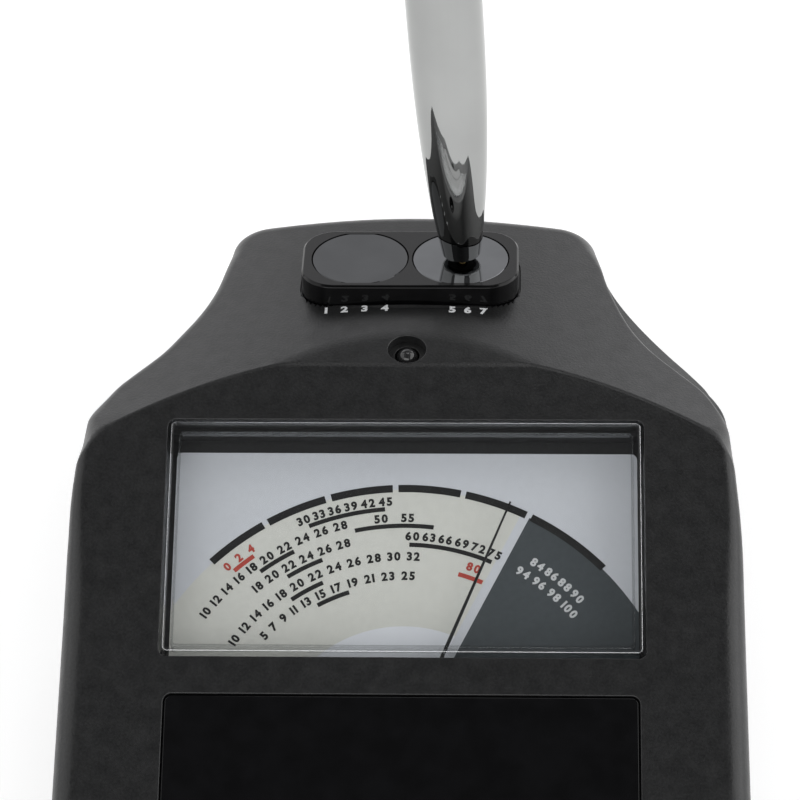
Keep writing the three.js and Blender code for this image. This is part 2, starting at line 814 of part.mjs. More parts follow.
function backShell() {
  const lower = overlap(housingOuter, outlineSlab(-overrun, -overrun, seamHeight - seamGap / 2));
  const lipRoom = outlineSlab(wall - lipThickness - lipClearance,
    seamHeight - lipHeight - lipClearance, seamHeight);
  const bay = batteryBay();
  const bosses = screwPlaces.map(([x, y]) =>
    rod(screwFloorBossRadius, seamHeight - floorTop, x, y, floorTop - seamGap / 2));
  const hollow = join(cut(lower, housingInner, lipRoom), bay.outer, ...bosses);
  const screwHoles = screwPlaces.map(([x, y]) =>
    rod(screwRadius + fitGap, 2 * seamHeight, x, y, 0, smallSides));
  const pockets = screwPlaces.map(([x, y]) =>
    rod(screwHeadRadius + restGap, screwPocketDepth + overrun, x, y, footHeight - overrun));
  const footPockets = footPlaces.map(([x, y]) =>
    rod(footRadius + fitGap, footPocketDepth + overrun, x, y, footHeight - overrun));
  return cut(hollow, bay.inner, coverSlot(), ...screwHoles, ...pockets, ...footPockets);
}

function batteryCover() {
  const plate = sheetAlong(-coverPlateHalfWidth, coverPlateHalfWidth, -2 * lowerReach, coverPlateFar,
    footHeight - overrun, coverPlateTop);
  const tongueReach = coverPlateHalfWidth + coverTongueReach;
  const tongues = sheetAlong(-tongueReach, tongueReach, coverPlateFar - coverTongueLength,
    coverPlateFar, tongueBottom, tongueBottom + coverTongueThickness);
  const grips = Array.from({ length: coverGripCount }, (_, i) => {
    const y = coverGripSetback - lowerReach - i * coverGripSpacing;
    return sheetAlong(-coverGripWidth / 2, coverGripWidth / 2, y - coverGripLength, y,
      footHeight - overrun, footHeight + coverGripDepth);
  });
  return cut(join(overlap(plate, housingOuter), tongues), ...grips);
}

function caseScrew() {
  const headPart = rod(screwHeadRadius, screwHeadHeight, 0, 0, screwSeat - fitGap - screwHeadHeight);
  const shank = rod(screwRadius, screwLength, 0, 0, screwSeat - fitGap, smallSides);
  return join(headPart, shank);
}

function foot() {
  return rod(footRadius, footHeight + footPocketDepth - fitGap, 0, 0, 0);
}

// Batteries and their contacts
function cell() {
  const body = rodAlongY(cellRadius, cellLength, 0, -cellLength, 0);
  const nub = rodAlongY(cellNubRadius, cellNubLength * 2, 0, -cellLength - cellNubLength, 0, smallSides);
  return join(body, nub);
}

class Helix extends THREE.Curve {
  constructor(radius, length, turns) {
    super();
    Object.assign(this, { radius, length, turns });
  }

  getPoint(t, target = new THREE.Vector3()) {
    const angle = 2 * Math.PI * this.turns * t;
    return target.set(this.radius * Math.cos(angle), this.radius * Math.sin(angle), this.length * t);
  }
}

function wireShape(radius) {
  const sides = 4;
  return new THREE.Shape(Array.from({ length: sides }, (_, i) => {
    const angle = 2 * Math.PI * i / sides;
    return new THREE.Vector2(radius * Math.cos(angle), radius * Math.sin(angle));
  }));
}

// Coil spring along Z, between its lowest and highest wire edges
function coilSpring(radius, wireRadius, length, turns) {
  const path = new Helix(radius, length - 2 * wireRadius, turns);
  const settings = { steps: springSteps, bevelEnabled: false, extrudePath: path };
  return toSolid(new THREE.ExtrudeGeometry(wireShape(wireRadius), settings).translate(0, 0, wireRadius));
}

function contactPlate() {
  return box(contactThickness, bayFar - bayNear - 2 * restGap, contactHeight, 0,
    (bayFar + bayNear) / 2, -contactHeight / 2);
}

// Label panel and meter cover, on the face
function labelPanel() {
  const shape = roundedRectangle(-labelHalfWidth, labelHalfWidth, labelLower, labelUpper,
    labelCornerRadius);
  return prism(shape, -labelInset - labelThickness, -labelInset);
}

const skirtBottom = -dialDepth + restGap;

function meterCover() {
  const outer = roundedRectangle(-coverHalfWidth, coverHalfWidth, coverLower, coverUpper,
    coverCornerRadius);
  const inner = roundedRectangle(-coverHalfWidth + coverSkirt, coverHalfWidth - coverSkirt,
    coverLower + coverSkirt, coverUpper - coverSkirt, coverCornerRadius / 2);
  const flangeTop = -wall - restGap;
  const flange = sheetAlong(-coverHalfWidth - coverFlange, coverHalfWidth + coverFlange,
    coverLower - coverFlange, coverUpper + coverFlange, flangeTop - coverFlangeThickness, flangeTop);
  const body = join(prism(outer, skirtBottom, coverRise), flange);
  const needleRoom = sheetAlong(-coverHalfWidth + coverSkirt, coverHalfWidth - coverSkirt,
    coverLower - coverFlange - fitGap, coverLower + 2 * coverSkirt, skirtBottom - overrun,
    -dialDepth + needleHeight + needleThickness + restGap);
  return cut(body, prism(inner, skirtBottom - overrun, coverRise - coverThickness), needleRoom);
}

// Meter case, with shelves for the dial, lugs for two screws and a seat for the rear jewel
const caseTop = -wall - restGap - coverFlangeThickness - restGap;
const caseInnerHalf = coverHalfWidth + restGap;
const caseOuterHalf = caseInnerHalf + meterCaseWall;
const caseInnerUpper = coverUpper + restGap;
const meterCaseDepth = (ridgeHeight - meterCaseBottom * Math.sin(faceTilt) - floorTop - meterCaseClearance)
  / Math.cos(faceTilt);
const caseFloor = -meterCaseDepth + meterCaseWall;
const shelfTop = -dialDepth - dialThickness - restGap;
const coreTop = -coreDepth;
const coreBottom = coreTop - coreHeight;
const jewelSeat = coreBottom - coilGap - formerThickness - fitGap - windingThickness - 2 * restGap
  - jewelHeight;

function meterCase() {
  const lower = -meterCaseBottom;
  const outer = sheetAlong(-caseOuterHalf, caseOuterHalf, lower, caseInnerUpper + meterCaseWall,
    -meterCaseDepth, caseTop);
  const inner = sheetAlong(-caseInnerHalf, caseInnerHalf, lower + meterCaseWall, caseInnerUpper,
    caseFloor, overrun);
  const shelf = (side) => sheetAlong(Math.min(side, side * (1 - meterShelf / caseOuterHalf)),
    Math.max(side, side * (1 - meterShelf / caseOuterHalf)), -dialBottom, caseInnerUpper,
    caseFloor - meterCaseWall / 2, shelfTop);
  const lugTop = meterLugTopLevel;
  const lugs = sheetAlong(-caseOuterHalf - meterLugReach, caseOuterHalf + meterLugReach,
    -meterLugStation - meterLugLength / 2, -meterLugStation + meterLugLength / 2,
    lugTop - meterLugThickness, lugTop);
  const feet = [-1, 1].map((side) => box(yokeFootWidth, yokeFootLength,
    coreBottom - restGap - caseFloor + meterCaseWall / 2,
    side * (yokeRadius - yokeThickness / 2), -pivotStation, caseFloor - meterCaseWall / 2));
  const seat = rod(jewelRadius * 2, jewelSeat - fitGap - caseFloor + meterCaseWall / 2, 0, -pivotStation,
    caseFloor - meterCaseWall / 2, smallSides);
  const holes = meterBossPlaces.map(([x, y]) =>
    rod(smallScrewHole, 2 * overrun, x, y, lugTop - overrun, smallSides));
  const tray = cut(join(outer, lugs), inner);
  return cut(join(tray, shelf(caseOuterHalf), shelf(-caseOuterHalf), ...feet, seat), ...holes);
}

function dialPlate() {
  return sheetAlong(-caseInnerHalf + fitGap, caseInnerHalf - fitGap, -dialBottom,
    caseInnerUpper - fitGap, -dialDepth - dialThickness, -dialDepth);
}

// Movement, about the pivot axis
const formerInner = coreRadius + coilGap;
const formerOuter = formerInner + formerThickness;
const windingInner = formerOuter + fitGap;
const windingOuter = windingInner + windingThickness;

// Rectangular loop around the core, standing across the pivot axis
function coilLoop(innerHalf, outerHalf, innerRise, outerRise, band) {
  const outer = box(band, 2 * outerHalf, coreHeight + 2 * outerRise, 0, 0, coreBottom - outerRise);
  const inner = box(2 * band, 2 * innerHalf, coreHeight + 2 * innerRise, 0, 0, coreBottom - innerRise);
  return cut(outer, inner);
}

const coilFormer = () => coilLoop(formerInner, formerOuter, coilGap, coilGap + formerThickness,
  formerBand);
const windingRise = coilGap + formerThickness + fitGap;
const coilWinding = () => coilLoop(windingInner, windingOuter, windingRise,
  windingRise + windingThickness, windingBand);

const needleBottom = -dialDepth + needleHeight;
const stopReach = yokeRadius - yokeThickness / 2;
const stopAngle = radians(needleScaleHalfAngle) + Math.asin((stopRadius + stopMargin) / stopReach);

// Pin on the yoke that ends the needle's swing on one side
function needleStop(side) {
  const angle = Math.PI / 2 - side * stopAngle;
  const bottom = coreTop - coreHeight / 2;
  return rod(stopRadius, needleBottom + needleThickness - bottom, stopReach * Math.cos(angle),
    stopReach * Math.sin(angle), bottom, smallSides);
}

function yokeRing() {
  const inner = yokeRadius - yokeThickness;
  const ring = cut(rod(yokeRadius, coreHeight, 0, 0, coreBottom),
    rod(inner, 3 * coreHeight, 0, 0, coreBottom - coreHeight));
  const armLength = stopReach - coreRadius - restGap;
  const arm = (side) => box(armLength, yokeArmWidth, yokeArmHeight, side * (stopReach - armLength / 2),
    0, coreBottom + yokeArmHeight / 2);
  return join(ring, arm(1), arm(-1), needleStop(1), needleStop(-1));
}

function magnetCore() {
  return rod(coreRadius, coreHeight, 0, 0, coreBottom);
}

const windingTop = coreTop + windingRise + windingThickness;
const windingBottom = coreBottom - windingRise - windingThickness;
const bridgeBottom = -bridgeHeight - bridgeThickness;
const frontJewelBottom = bridgeBottom - fitGap - jewelHeight;

function frontPivot() {
  const bottom = windingTop + fitGap;
  const top = frontJewelBottom + jewelHeight / 2 - restGap;
  return rod(pivotRadius, top - bottom, 0, 0, bottom, smallSides);
}

function rearPivot() {
  const top = windingBottom - fitGap;
  const bottom = jewelSeat + jewelHeight / 2 + fitGap;
  return rod(pivotRadius, top - bottom, 0, 0, bottom, smallSides);
}

// Cup with its bore at the top
function jewelCup(bottom) {
  const cup = rod(jewelRadius, jewelHeight, 0, 0, bottom, smallSides);
  return cut(cup, rod(jewelBoreRadius, jewelHeight, 0, 0, bottom + jewelHeight / 2, smallSides));
}

function frontJewel() {
  const cup = rod(jewelRadius, jewelHeight, 0, 0, frontJewelBottom, smallSides);
  return cut(cup, rod(jewelBoreRadius, jewelHeight, 0, 0, frontJewelBottom - jewelHeight / 2, smallSides));
}

function movementBridge() {
  const reach = bridgePostRadiusFromAxis;
  const bar = box(2 * reach + bridgeWidth, bridgeWidth, bridgeThickness, 0, 0, bridgeBottom);
  const postBottom = coreTop + restGap;
  const posts = [-reach, reach].map((x) =>
    rod(bridgePostRadius, bridgeBottom + bridgeThickness / 2 - postBottom, x, 0, postBottom, smallSides));
  return join(bar, ...posts);
}

function needle() {
  const half = needleWidth / 2;
  const pointer = new THREE.Shape();
  pointer.moveTo(-half, -needleTail);
  pointer.lineTo(half, -needleTail);
  pointer.lineTo(half, 0);
  pointer.lineTo(half * needleTipShare, needleReach);
  pointer.lineTo(-half * needleTipShare, needleReach);
  pointer.lineTo(-half, 0);
  const top = needleBottom + needleThickness;
  const hub = rod(needleHubRadius, needleThickness, 0, 0, needleBottom);
  const weight = sheetAlong(-counterweightWidth, counterweightWidth, -needleTail,
    -needleTail + counterweightLength, needleBottom, top);
  const blank = join(prism(pointer, needleBottom, top), hub, weight);
  return cut(blank, rod(pivotRadius + fitGap, 2 * overrun, 0, 0, needleBottom - overrun, smallSides));
}

// Flat spiral spring below the needle
function hairspring() {
  const steps = hairspringSteps * hairspringTurns;
  const line = (shift) => Array.from({ length: steps + 1 }, (_, i) => {
    const angle = 2 * Math.PI * hairspringTurns * i / steps;
    const radius = hairspringInner + (hairspringOuter - hairspringInner) * i / steps + shift;
    return new THREE.Vector2(radius * Math.cos(angle), radius * Math.sin(angle));
  });
  const shape = new THREE.Shape([...line(0), ...line(hairspringThickness).reverse()]);
  const top = needleBottom - hairspringDrop;
  return prism(shape, top - hairspringHeight, top);
}

// Power button, board and its parts
function powerButton() {
  const flangeRadius = buttonRadius + buttonFlangeReach;
  const flangeBottom = buttonFlangeTop - buttonFlangeThickness;
  const stemBottom = switchTop + buttonTravel + fitGap;
  const edge = buttonRise - buttonCrown;
  const crown = [1, 2, 3].map((i) => {
    const angle = i * Math.PI / 6;
    return [buttonRadius * Math.cos(angle), edge + buttonCrown * Math.sin(angle)];
  });
  crown[crown.length - 1][0] = 0;
  const cap = turned([[0, flangeBottom], [flangeRadius, flangeBottom], [flangeRadius, buttonFlangeTop],
    [buttonRadius, buttonFlangeTop], [buttonRadius, edge], ...crown]);
  const stem = rod(switchCapRadius, flangeBottom - stemBottom + buttonFlangeThickness / 2, 0, 0,
    stemBottom, smallSides);
  return join(cap, stem);
}

function mainBoard() {
  const plate = sheetAlong(-boardHalfWidth, boardHalfWidth, -boardBottom, -boardTop,
    boardTopLevel - boardThickness, boardTopLevel);
  const holes = boardBossPlaces.map(([x, y]) =>
    rod(smallScrewHole, 2 * overrun, x, y, boardTopLevel - overrun, smallSides));
  return cut(plate, ...holes);
}

function tactSwitch() {
  const body = box(switchSize, switchSize, switchHeight * switchBodyShare, 0, 0, boardTopLevel + fitGap);
  return join(body, rod(switchCapRadius, switchHeight, 0, 0, boardTopLevel + fitGap, smallSides));
}

const onBoard = (solid, x, station) => solid.translate([x, -station, boardTopLevel + fitGap]);

function buzzer() {
  const can = rod(buzzerRadius, buzzerHeight, 0, 0, 0);
  return cut(can, rod(buzzerBoreRadius, buzzerBoreDepth + overrun, 0, 0, buzzerHeight - buzzerBoreDepth,
    smallSides));
}

// Small screw with its head below the seat level
function smallScrew(seat) {
  const shank = rod(smallScrewRadius, smallScrewLength - restGap, 0, 0, seat - fitGap, smallSides);
  const headPart = rod(smallScrewHeadRadius, smallScrewHeadHeight, 0, 0,
    seat - fitGap - smallScrewHeadHeight, smallSides);
  return join(shank, headPart);
}

// Ready lamp, in the facet's frame
function readyLamp() {
  const top = -lampRecess;
  const base = lampBoardLevel + fitGap;
  const dome = [0, 1, 2, 3, 4].map((i) => {
    const angle = i * Math.PI / 8;
    return [lampRadius * Math.cos(angle), top - lampRadius + lampRadius * Math.sin(angle)];
  });
  dome[dome.length - 1][0] = 0;
  return turned([[0, base], [lampFlangeRadius, base], [lampFlangeRadius, base + lampFlangeHeight],
    [lampRadius, base + lampFlangeHeight], ...dome], roundSides);
}

function lampBoard() {
  return box(lampBoardWidth, lampBoardLength, lampBoardThickness, 0, 0,
    lampBoardLevel - lampBoardThickness);
}

// Test plate with its two disc pockets and pegs, in the head's frame
const pegBottom = -plateSink - pegLength;

function testPlate() {
  const shape = roundedRectangle(-plateHalfWidth, plateHalfWidth, plateStation - plateLength / 2,
    plateStation + plateLength / 2, plateCornerRadius);
  const slab = prism(shape, -plateSink, plateRise, 5);
  const sides = [-discOffset, discOffset];
  const pegs = sides.map((x) => rod(pegRadius, pegLength + plateSink, x, plateStation, pegBottom,
    smallSides));
  const pockets = sides.map((x) => rod(discRadius + fitGap, discThickness + overrun, x, plateStation,
    plateRise - discInset - discThickness - fitGap, fineSides));
  const holes = sides.map((x) => rod(smallScrewHole, pegLength, x, plateStation,
    pegBottom - smallScrewHeadHeight, smallSides));
  return cut(join(slab, ...pegs), ...pockets, ...holes);
}

function disc() {
  return rod(discRadius, discThickness, 0, 0, plateRise - discInset - discThickness, fineSides);
}

function plateScrew() {
  const length = pegLength - smallScrewHeadHeight - restGap;
  const shank = rod(smallScrewRadius, length, 0, 0, pegBottom - fitGap, smallSides);
  const headPart = rod(pegRadius + wall / 2, smallScrewHeadHeight, 0, 0,
    pegBottom - fitGap - smallScrewHeadHeight, smallSides);
  return join(shank, headPart);
}

// Probe socket, along Y through the end wall
function probeSocket() {
  const outerEnd = headReach + socketRise;
  const innerEnd = headReach - socketLength;
  const flangeFar = headReach - wall - seamSpread;
  const barrel = rodAlongY(socketRadius, outerEnd - innerEnd, 0, innerEnd, 0);
  const flange = rodAlongY(socketRadius + socketFlangeReach, socketFlangeThickness, 0,
    flangeFar - socketFlangeThickness, 0);
  return cut(join(barrel, flange), rodAlongY(socketBoreRadius, socketBoreDepth + overrun, 0,
    outerEnd - socketBoreDepth, 0, smallSides));
}

// Probe pen, along its own axis from the disc's surface
const penNoseEnd = penTipGap + penTipProtrusion;

function penOuterRadius(z) {
  const share = Math.min((z - penNoseEnd) / penNoseLength, 1);
  return penNoseRadius + (penRadius - penNoseRadius) * (1 - (1 - share) ** 3);
}

function penBarrel() {
  const noseShares = [0.04, 0.09, 0.16, 0.25, 0.36, 0.5, 0.68, 1];
  const boreShares = [0.34, 0.5, 1];
  const top = penNoseEnd + penBarrelLength;
  const boreTop = penNoseEnd + penBushLength + 2 * restGap;
  const along = (share) => penNoseEnd + share * penNoseLength;
  const outer = [[penNoseEndRadius, penNoseEnd],
    [penNoseRadius - penNoseRound * penNoseRoundInShare, penNoseEnd + penNoseRound * penNoseRoundUpShare],
    ...noseShares.map((share) => [penOuterRadius(along(share)), along(share)]),
    [penRadius, top]];
  const inner = [[penBushRadius + fitGap, penNoseEnd], [penBushRadius + fitGap, boreTop],
    [penOuterRadius(boreTop) - penWall, boreTop],
    ...boreShares.map((share) => [penOuterRadius(along(share)) - penWall, along(share)]),
    [penRadius - penWall, top]];
  return turned(ringProfile(outer, inner), fineSides);
}

function penBush() {
  const bottom = penNoseEnd;
  const top = bottom + penBushLength;
  return turned(ringProfile([[penBushRadius, bottom], [penBushRadius, top]],
    [[penTipRadius + fitGap * 2, bottom], [penTipRadius + fitGap * 2, top]]), roundSides);
}

const collarBottom = penNoseEnd + penBushLength + restGap;
const collarTop = collarBottom + penTipCollarLength;

function penTip() {
  const bottom = penTipGap;
  const rounding = penTipRadius / 2;
  return turned([[0, bottom], [penTipRadius - rounding, bottom], [penTipRadius, bottom + rounding],
    [penTipRadius, collarBottom], [penTipCollarRadius, collarBottom], [penTipCollarRadius, collarTop],
    [0, collarTop]], roundSides);
}

const springBottom = collarTop + penTipProtrusion + restGap;
const carrierBottom = springBottom + penSpringLength + restGap;
const penBoardBottom = carrierBottom + penCarrierLength + restGap;
const penBoardTop = penNoseEnd + penBarrelLength - penCapSpigotLength - penBoardMargin;

function penCarrier() {
  return rod(penCarrierRadius, penCarrierLength, 0, 0, carrierBottom);
}

function penBoard() {
  return box(penBoardWidth, penBoardThickness, penBoardTop - penBoardBottom, 0, 0, penBoardBottom);
}

function penEndCap() {
  const seat = penNoseEnd + penBarrelLength + fitGap;
  const top = seat + penCapLength;
  const spigot = penRadius - penWall - fitGap;
  const outer = [[spigot, seat - penCapSpigotLength], [spigot, seat], [penRadius, seat],
    [penRadius, seat + penCapLength / 2], [penCapEndRadius, top]];
  const bore = [[penCordHoleRadius, seat - penCapSpigotLength], [penCordHoleRadius, top]];
  return turned(ringProfile(outer, bore), fineSides);
}

// Ribbed strain relief with an open bore where a cord would leave
function penGland() {
  const bottom = penNoseEnd + penBarrelLength + penCapLength + 2 * fitGap;
  const pitch = penGlandLength / (2 * penGlandGrooves + 1);
  const taper = (z) => penGlandRadius - (penGlandRadius - penGlandEndRadius) * z / penGlandLength;
  const outer = [];
  for (let i = 0; i <= 2 * penGlandGrooves; i += 1) {
    const depth = i % 2 === 1 ? penGlandGrooveDepth : 0;
    outer.push([taper(i * pitch) - depth, bottom + i * pitch],
      [taper((i + 1) * pitch) - depth, bottom + (i + 1) * pitch]);
  }
  const inner = [[penCordHoleRadius, bottom], [penCordHoleRadius, bottom + penGlandLength]];
  return turned(ringProfile(outer, inner), roundSides);
}

// Assembly
const tester = new THREE.Group();
tester.add(face, head, facet);

function add(parent, name, solid, material, x = 0, y = 0, z = 0) {
  const mesh = new THREE.Mesh(toGeometry(solid), material);
  mesh.name = name;
  mesh.position.set(x, y, z);
  parent.add(mesh);
  return mesh;
}

function addHousing() {
  add(tester, 'front_shell', frontShell(), housingBlack());
  add(tester, 'back_shell', backShell(), housingBlack());
  screwPlaces.forEach(([x, y], i) => add(tester, `case_screw_${i + 1}`, caseScrew(), screwSteel(), x, y));
  footPlaces.forEach(([x, y], i) => add(tester, `foot_${i + 1}`, foot(), rubberBlack(), x, y));
  add(tester, 'probe_socket', probeSocket(), innerBlack(), 0, 0, socketHeight);
}

function addPower() {
  add(tester, 'battery_cover', batteryCover(), housingBlack());
  const leftPlate = cellLeft - springLength - contactThickness / 2 - 2 * fitGap;
  const rightPlate = cellLeft + cellLength + cellNubLength + contactThickness / 2 + fitGap;
  add(tester, 'contact_plate_left', contactPlate(), screwSteel(), leftPlate, 0, cellCentre);
  add(tester, 'contact_plate_right', contactPlate(), screwSteel(), rightPlate, 0, cellCentre);
  cellPlaces.forEach((y, i) => {
    const battery = add(tester, `battery_${i + 1}`, cell(), finish(0x4b5560, 0.35, 0.4), cellLeft, y,
      cellCentre);
    battery.rotation.z = Math.PI / 2;
    const solid = coilSpring(springRadius, springWireRadius, springLength, springTurns);
    const spring = add(tester, `contact_spring_${i + 1}`, solid, screwSteel(), cellLeft - fitGap, y,
      cellCentre);
    spring.rotation.y = -Math.PI / 2;
  });
}

function addMeter() {
  add(face, 'meter_cover', meterCover(), clear(0xe8f0f2, 0.25));
  add(face, 'dial_plate', dialPlate(), finish(0xf2f3f4, 0.5, 0));
  add(face, 'meter_case', meterCase(), innerBlack());
  add(face, 'meter_screw_left', smallScrew(meterLugTopLevel - meterLugThickness), screwSteel(),
    -meterLugOffset, -meterLugStation);
  add(face, 'meter_screw_right', smallScrew(meterLugTopLevel - meterLugThickness), screwSteel(),
    meterLugOffset, -meterLugStation);
  const axis = new THREE.Group();
  axis.position.y = -pivotStation;
  face.add(axis);
  add(axis, 'magnet_core', magnetCore(), finish(0x55585c, 0.4, 1));
  add(axis, 'yoke_ring', yokeRing(), screwSteel());
  add(axis, 'movement_bridge', movementBridge(), brass());
  add(axis, 'front_jewel', frontJewel(), brass());
  add(axis, 'rear_jewel', jewelCup(jewelSeat), brass());
  add(axis, 'hairspring', hairspring(), copper());
  addNeedle(axis);
}

function addNeedle(axis) {
  const swing = new THREE.Group();
  swing.rotation.z = -radians(needleReading);
  axis.add(swing);
  add(swing, 'needle', needle(), finish(0x101010, 0.4, 0));
  add(swing, 'coil_former', coilFormer(), finish(0xb9bcc0, 0.35, 1));
  add(swing, 'coil_winding', coilWinding(), copper());
  add(swing, 'front_pivot', frontPivot(), screwSteel());
  add(swing, 'rear_pivot', rearPivot(), screwSteel());
}

function addControls() {
  add(face, 'label_panel', labelPanel(), glossBlack());
  add(face, 'power_button', powerButton(), rubberBlack(), 0, -buttonStation);
  add(face, 'main_board', mainBoard(), boardGreen());
  add(face, 'tact_switch', tactSwitch(), innerBlack(), 0, -buttonStation);
  const chip = box(chipSize, chipSize, chipHeight, 0, 0, 0);
  add(face, 'processor_chip', onBoard(chip, chipInset - boardHalfWidth, chipStation), innerBlack());
  add(face, 'buzzer', onBoard(buzzer(), boardHalfWidth - buzzerInset, chipStation), innerBlack());
  const seat = boardTopLevel - boardThickness;
  boardBossPlaces.forEach(([x, y], i) =>
    add(face, `board_screw_${i + 1}`, smallScrew(seat), screwSteel(), x, y));
  add(facet, 'ready_lamp', readyLamp(), clear(0xdfe3e4, 0.6), 0, lampHoleSetback);
  add(facet, 'lamp_board', lampBoard(), boardGreen(), 0, lampHoleSetback);
}

function addTestPlate() {
  add(head, 'test_plate', testPlate(), glossBlack());
  add(head, 'glass_disc', disc(), finish(0x6a6c70, 0.06, 0.3), -discOffset, plateStation);
  add(head, 'reference_disc', disc(), finish(0x707276, 0.06, 0.3), discOffset, plateStation);
  add(head, 'plate_screw_left', plateScrew(), screwSteel(), -discOffset, plateStation);
  add(head, 'plate_screw_right', plateScrew(), screwSteel(), discOffset, plateStation);
}

function addProbe() {
  const pen = new THREE.Group();
  pen.position.set(penOffset, penStation, plateRise - discInset);
  pen.rotation.y = -penLean;
  head.add(pen);
  add(pen, 'probe_barrel', penBarrel(), chrome());
  add(pen, 'probe_bush', penBush(), innerBlack());
  add(pen, 'probe_tip', penTip(), copper());
  const spring = coilSpring(penSpringRadius, penSpringWireRadius, penSpringLength, springTurns);
  add(pen, 'probe_spring', spring, screwSteel(), 0, 0, springBottom);
  add(pen, 'probe_carrier', penCarrier(), innerBlack());
  add(pen, 'probe_board', penBoard(), boardGreen());
  add(pen, 'probe_end_cap', penEndCap(), innerBlack());
  add(pen, 'probe_gland', penGland(), rubberBlack());
}

addHousing();
addPower();
addMeter();
addControls();
addTestPlate();
addProbe();

// The origin is the middle of the whole object's footprint, on the surface that it stands on
tester.updateMatrixWorld(true);
const bounds = new THREE.Box3().setFromObject(tester, true);
tester.position.set(-(bounds.min.x + bounds.max.x) / 2, -(bounds.min.y + bounds.max.y) / 2, 0);

const model = new THREE.Group();
model.add(tester);

export default model;
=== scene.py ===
import json
import math

import bpy
import numpy as np
from mathutils import Matrix, Vector
from mathutils.geometry import delaunay_2d_cdt


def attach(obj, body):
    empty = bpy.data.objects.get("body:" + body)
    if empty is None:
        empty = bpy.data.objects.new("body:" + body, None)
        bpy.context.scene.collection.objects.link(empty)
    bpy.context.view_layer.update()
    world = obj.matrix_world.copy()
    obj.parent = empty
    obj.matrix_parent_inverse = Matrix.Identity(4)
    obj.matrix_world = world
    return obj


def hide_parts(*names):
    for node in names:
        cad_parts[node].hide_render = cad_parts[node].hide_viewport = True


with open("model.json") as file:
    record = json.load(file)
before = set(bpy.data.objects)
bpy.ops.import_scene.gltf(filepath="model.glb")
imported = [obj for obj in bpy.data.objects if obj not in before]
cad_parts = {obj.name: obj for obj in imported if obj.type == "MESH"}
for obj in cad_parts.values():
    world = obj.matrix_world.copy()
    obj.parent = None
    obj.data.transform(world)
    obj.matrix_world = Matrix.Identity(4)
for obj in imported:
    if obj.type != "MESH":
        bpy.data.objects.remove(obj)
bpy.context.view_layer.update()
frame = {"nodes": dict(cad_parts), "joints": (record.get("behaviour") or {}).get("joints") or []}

# Sizes of the device in millimetres, as in the CAD model. X is across, Y runs to the head, Z is up,
# and the origin is below the ridge between the face and the head.
FACE_TILT = math.radians(14)
HEAD_SLOPE = math.radians(20)
FACET_TURN = math.radians(22.8)
ARCH_RADIUS = 128.4
RIDGE = 45.5
SEAM = 9.0
SEAM_GAP = 0.3
FOOT = 1.0
DRAFT_ANGLE = math.radians(2)
DRAFT = math.tan(DRAFT_ANGLE)
DATUM = 40.0
FACE_EDGE, FACE_EDGE_TOP = 3.0, 1.5
HEAD_EDGE, SHOULDER_EDGE = 1.9, 3.2
LOWER_EDGE = 2.5
RIDGE_ROUND = 0.2
ARC_POINTS = 81
WALL = 2.2

# Corners of the outline: x, y and rounding
CORNERS = [(0, 32.7, 250), (24.6, 31.6, 5), (28.3, 10.3, 33), (42.25, -3.7, 11.5), (44, -24, 100),
           (44, -108.8, 14), (0, -110, 800)]

LEDGE_DROP, LEDGE_REACH, LEDGE_FAR, LEDGE_NEAR, LEDGE_END = 1.0, 1.6, 25.0, -2.0, -10.0
LEDGE_POWER, LEDGE_SKEW, LEDGE_FALL, LEDGE_RECESS = 0.8, 1.6, 0.22, 1.1
RIGHT_FLANK_EDGE, LEFT_FLANK_EDGE = 0.35, 1.1

# Rectangles: left, right, bottom, top and corner radius
WINDOW = (-31.35, 31.35, -42.5, -9.9, 1.0)
COVER = (-30.9, 30.9, -41.9, -10.35, 0.7)
COVER_RISE, COVER_THICKNESS, COVER_SKIRT, SKIRT_BOTTOM = 0.3, 1.2, 0.9, -6.0
DIAL_LEVEL, PIVOT = -6.3, -53.6
LABEL = (-30.4, 30.4, -77.6, -47.6, 1.0)
LABEL_INSET, LABEL_THICKNESS = 0.1, 0.8
BUTTON_V, BUTTON_RADIUS = -88.0, 5.6
LAMP_HOLE, LAMP_V, LAMP_RADIUS, LAMP_RECESS = 2.55, 2.85, 1.5, 0.45
PLATE = (-14.87, 14.87, 11.7, 26.1, 4.5)
PLATE_RISE, PLATE_SINK, PLATE_GAP = 2.6, 0.9, 0.15
DISC_RADIUS, DISC_U, DISC_V, DISC_INSET, DISC_THICKNESS = 6.59, 6.9, 18.9, 0.05, 1.5
PEN_OFFSET, PEN_LEAN = 7.1, math.radians(3.1)
PEN_NOSE_END, PEN_NOSE_RADIUS, PEN_RADIUS = 0.75, 2.6, 5.1
PEN_NOSE_LENGTH, PEN_BARREL = 45.0, 88.0
LABEL_GAP, BUTTON_GAP, CUT_EDGE = 0.1, 0.3, 0.14
PLATE_CHAMFER, PLATE_FLAT, DISC_GAP, DISC_POCKET = 0.28, 0.6, 0.1, 1.65
RIM_PROUD, RIM_WIDTH = 0.012, 0.38

CAP_LENGTH, CAP_END, CORD_HOLE = 9.0, 4.2, 1.7
GLAND_LENGTH, GLAND_GROOVES, GLAND_RADII, GLAND_GROOVE = 11.0, 2, (3.1, 2.4), 0.5
TIP_RADIUS, TIP_END = 0.55, 0.25

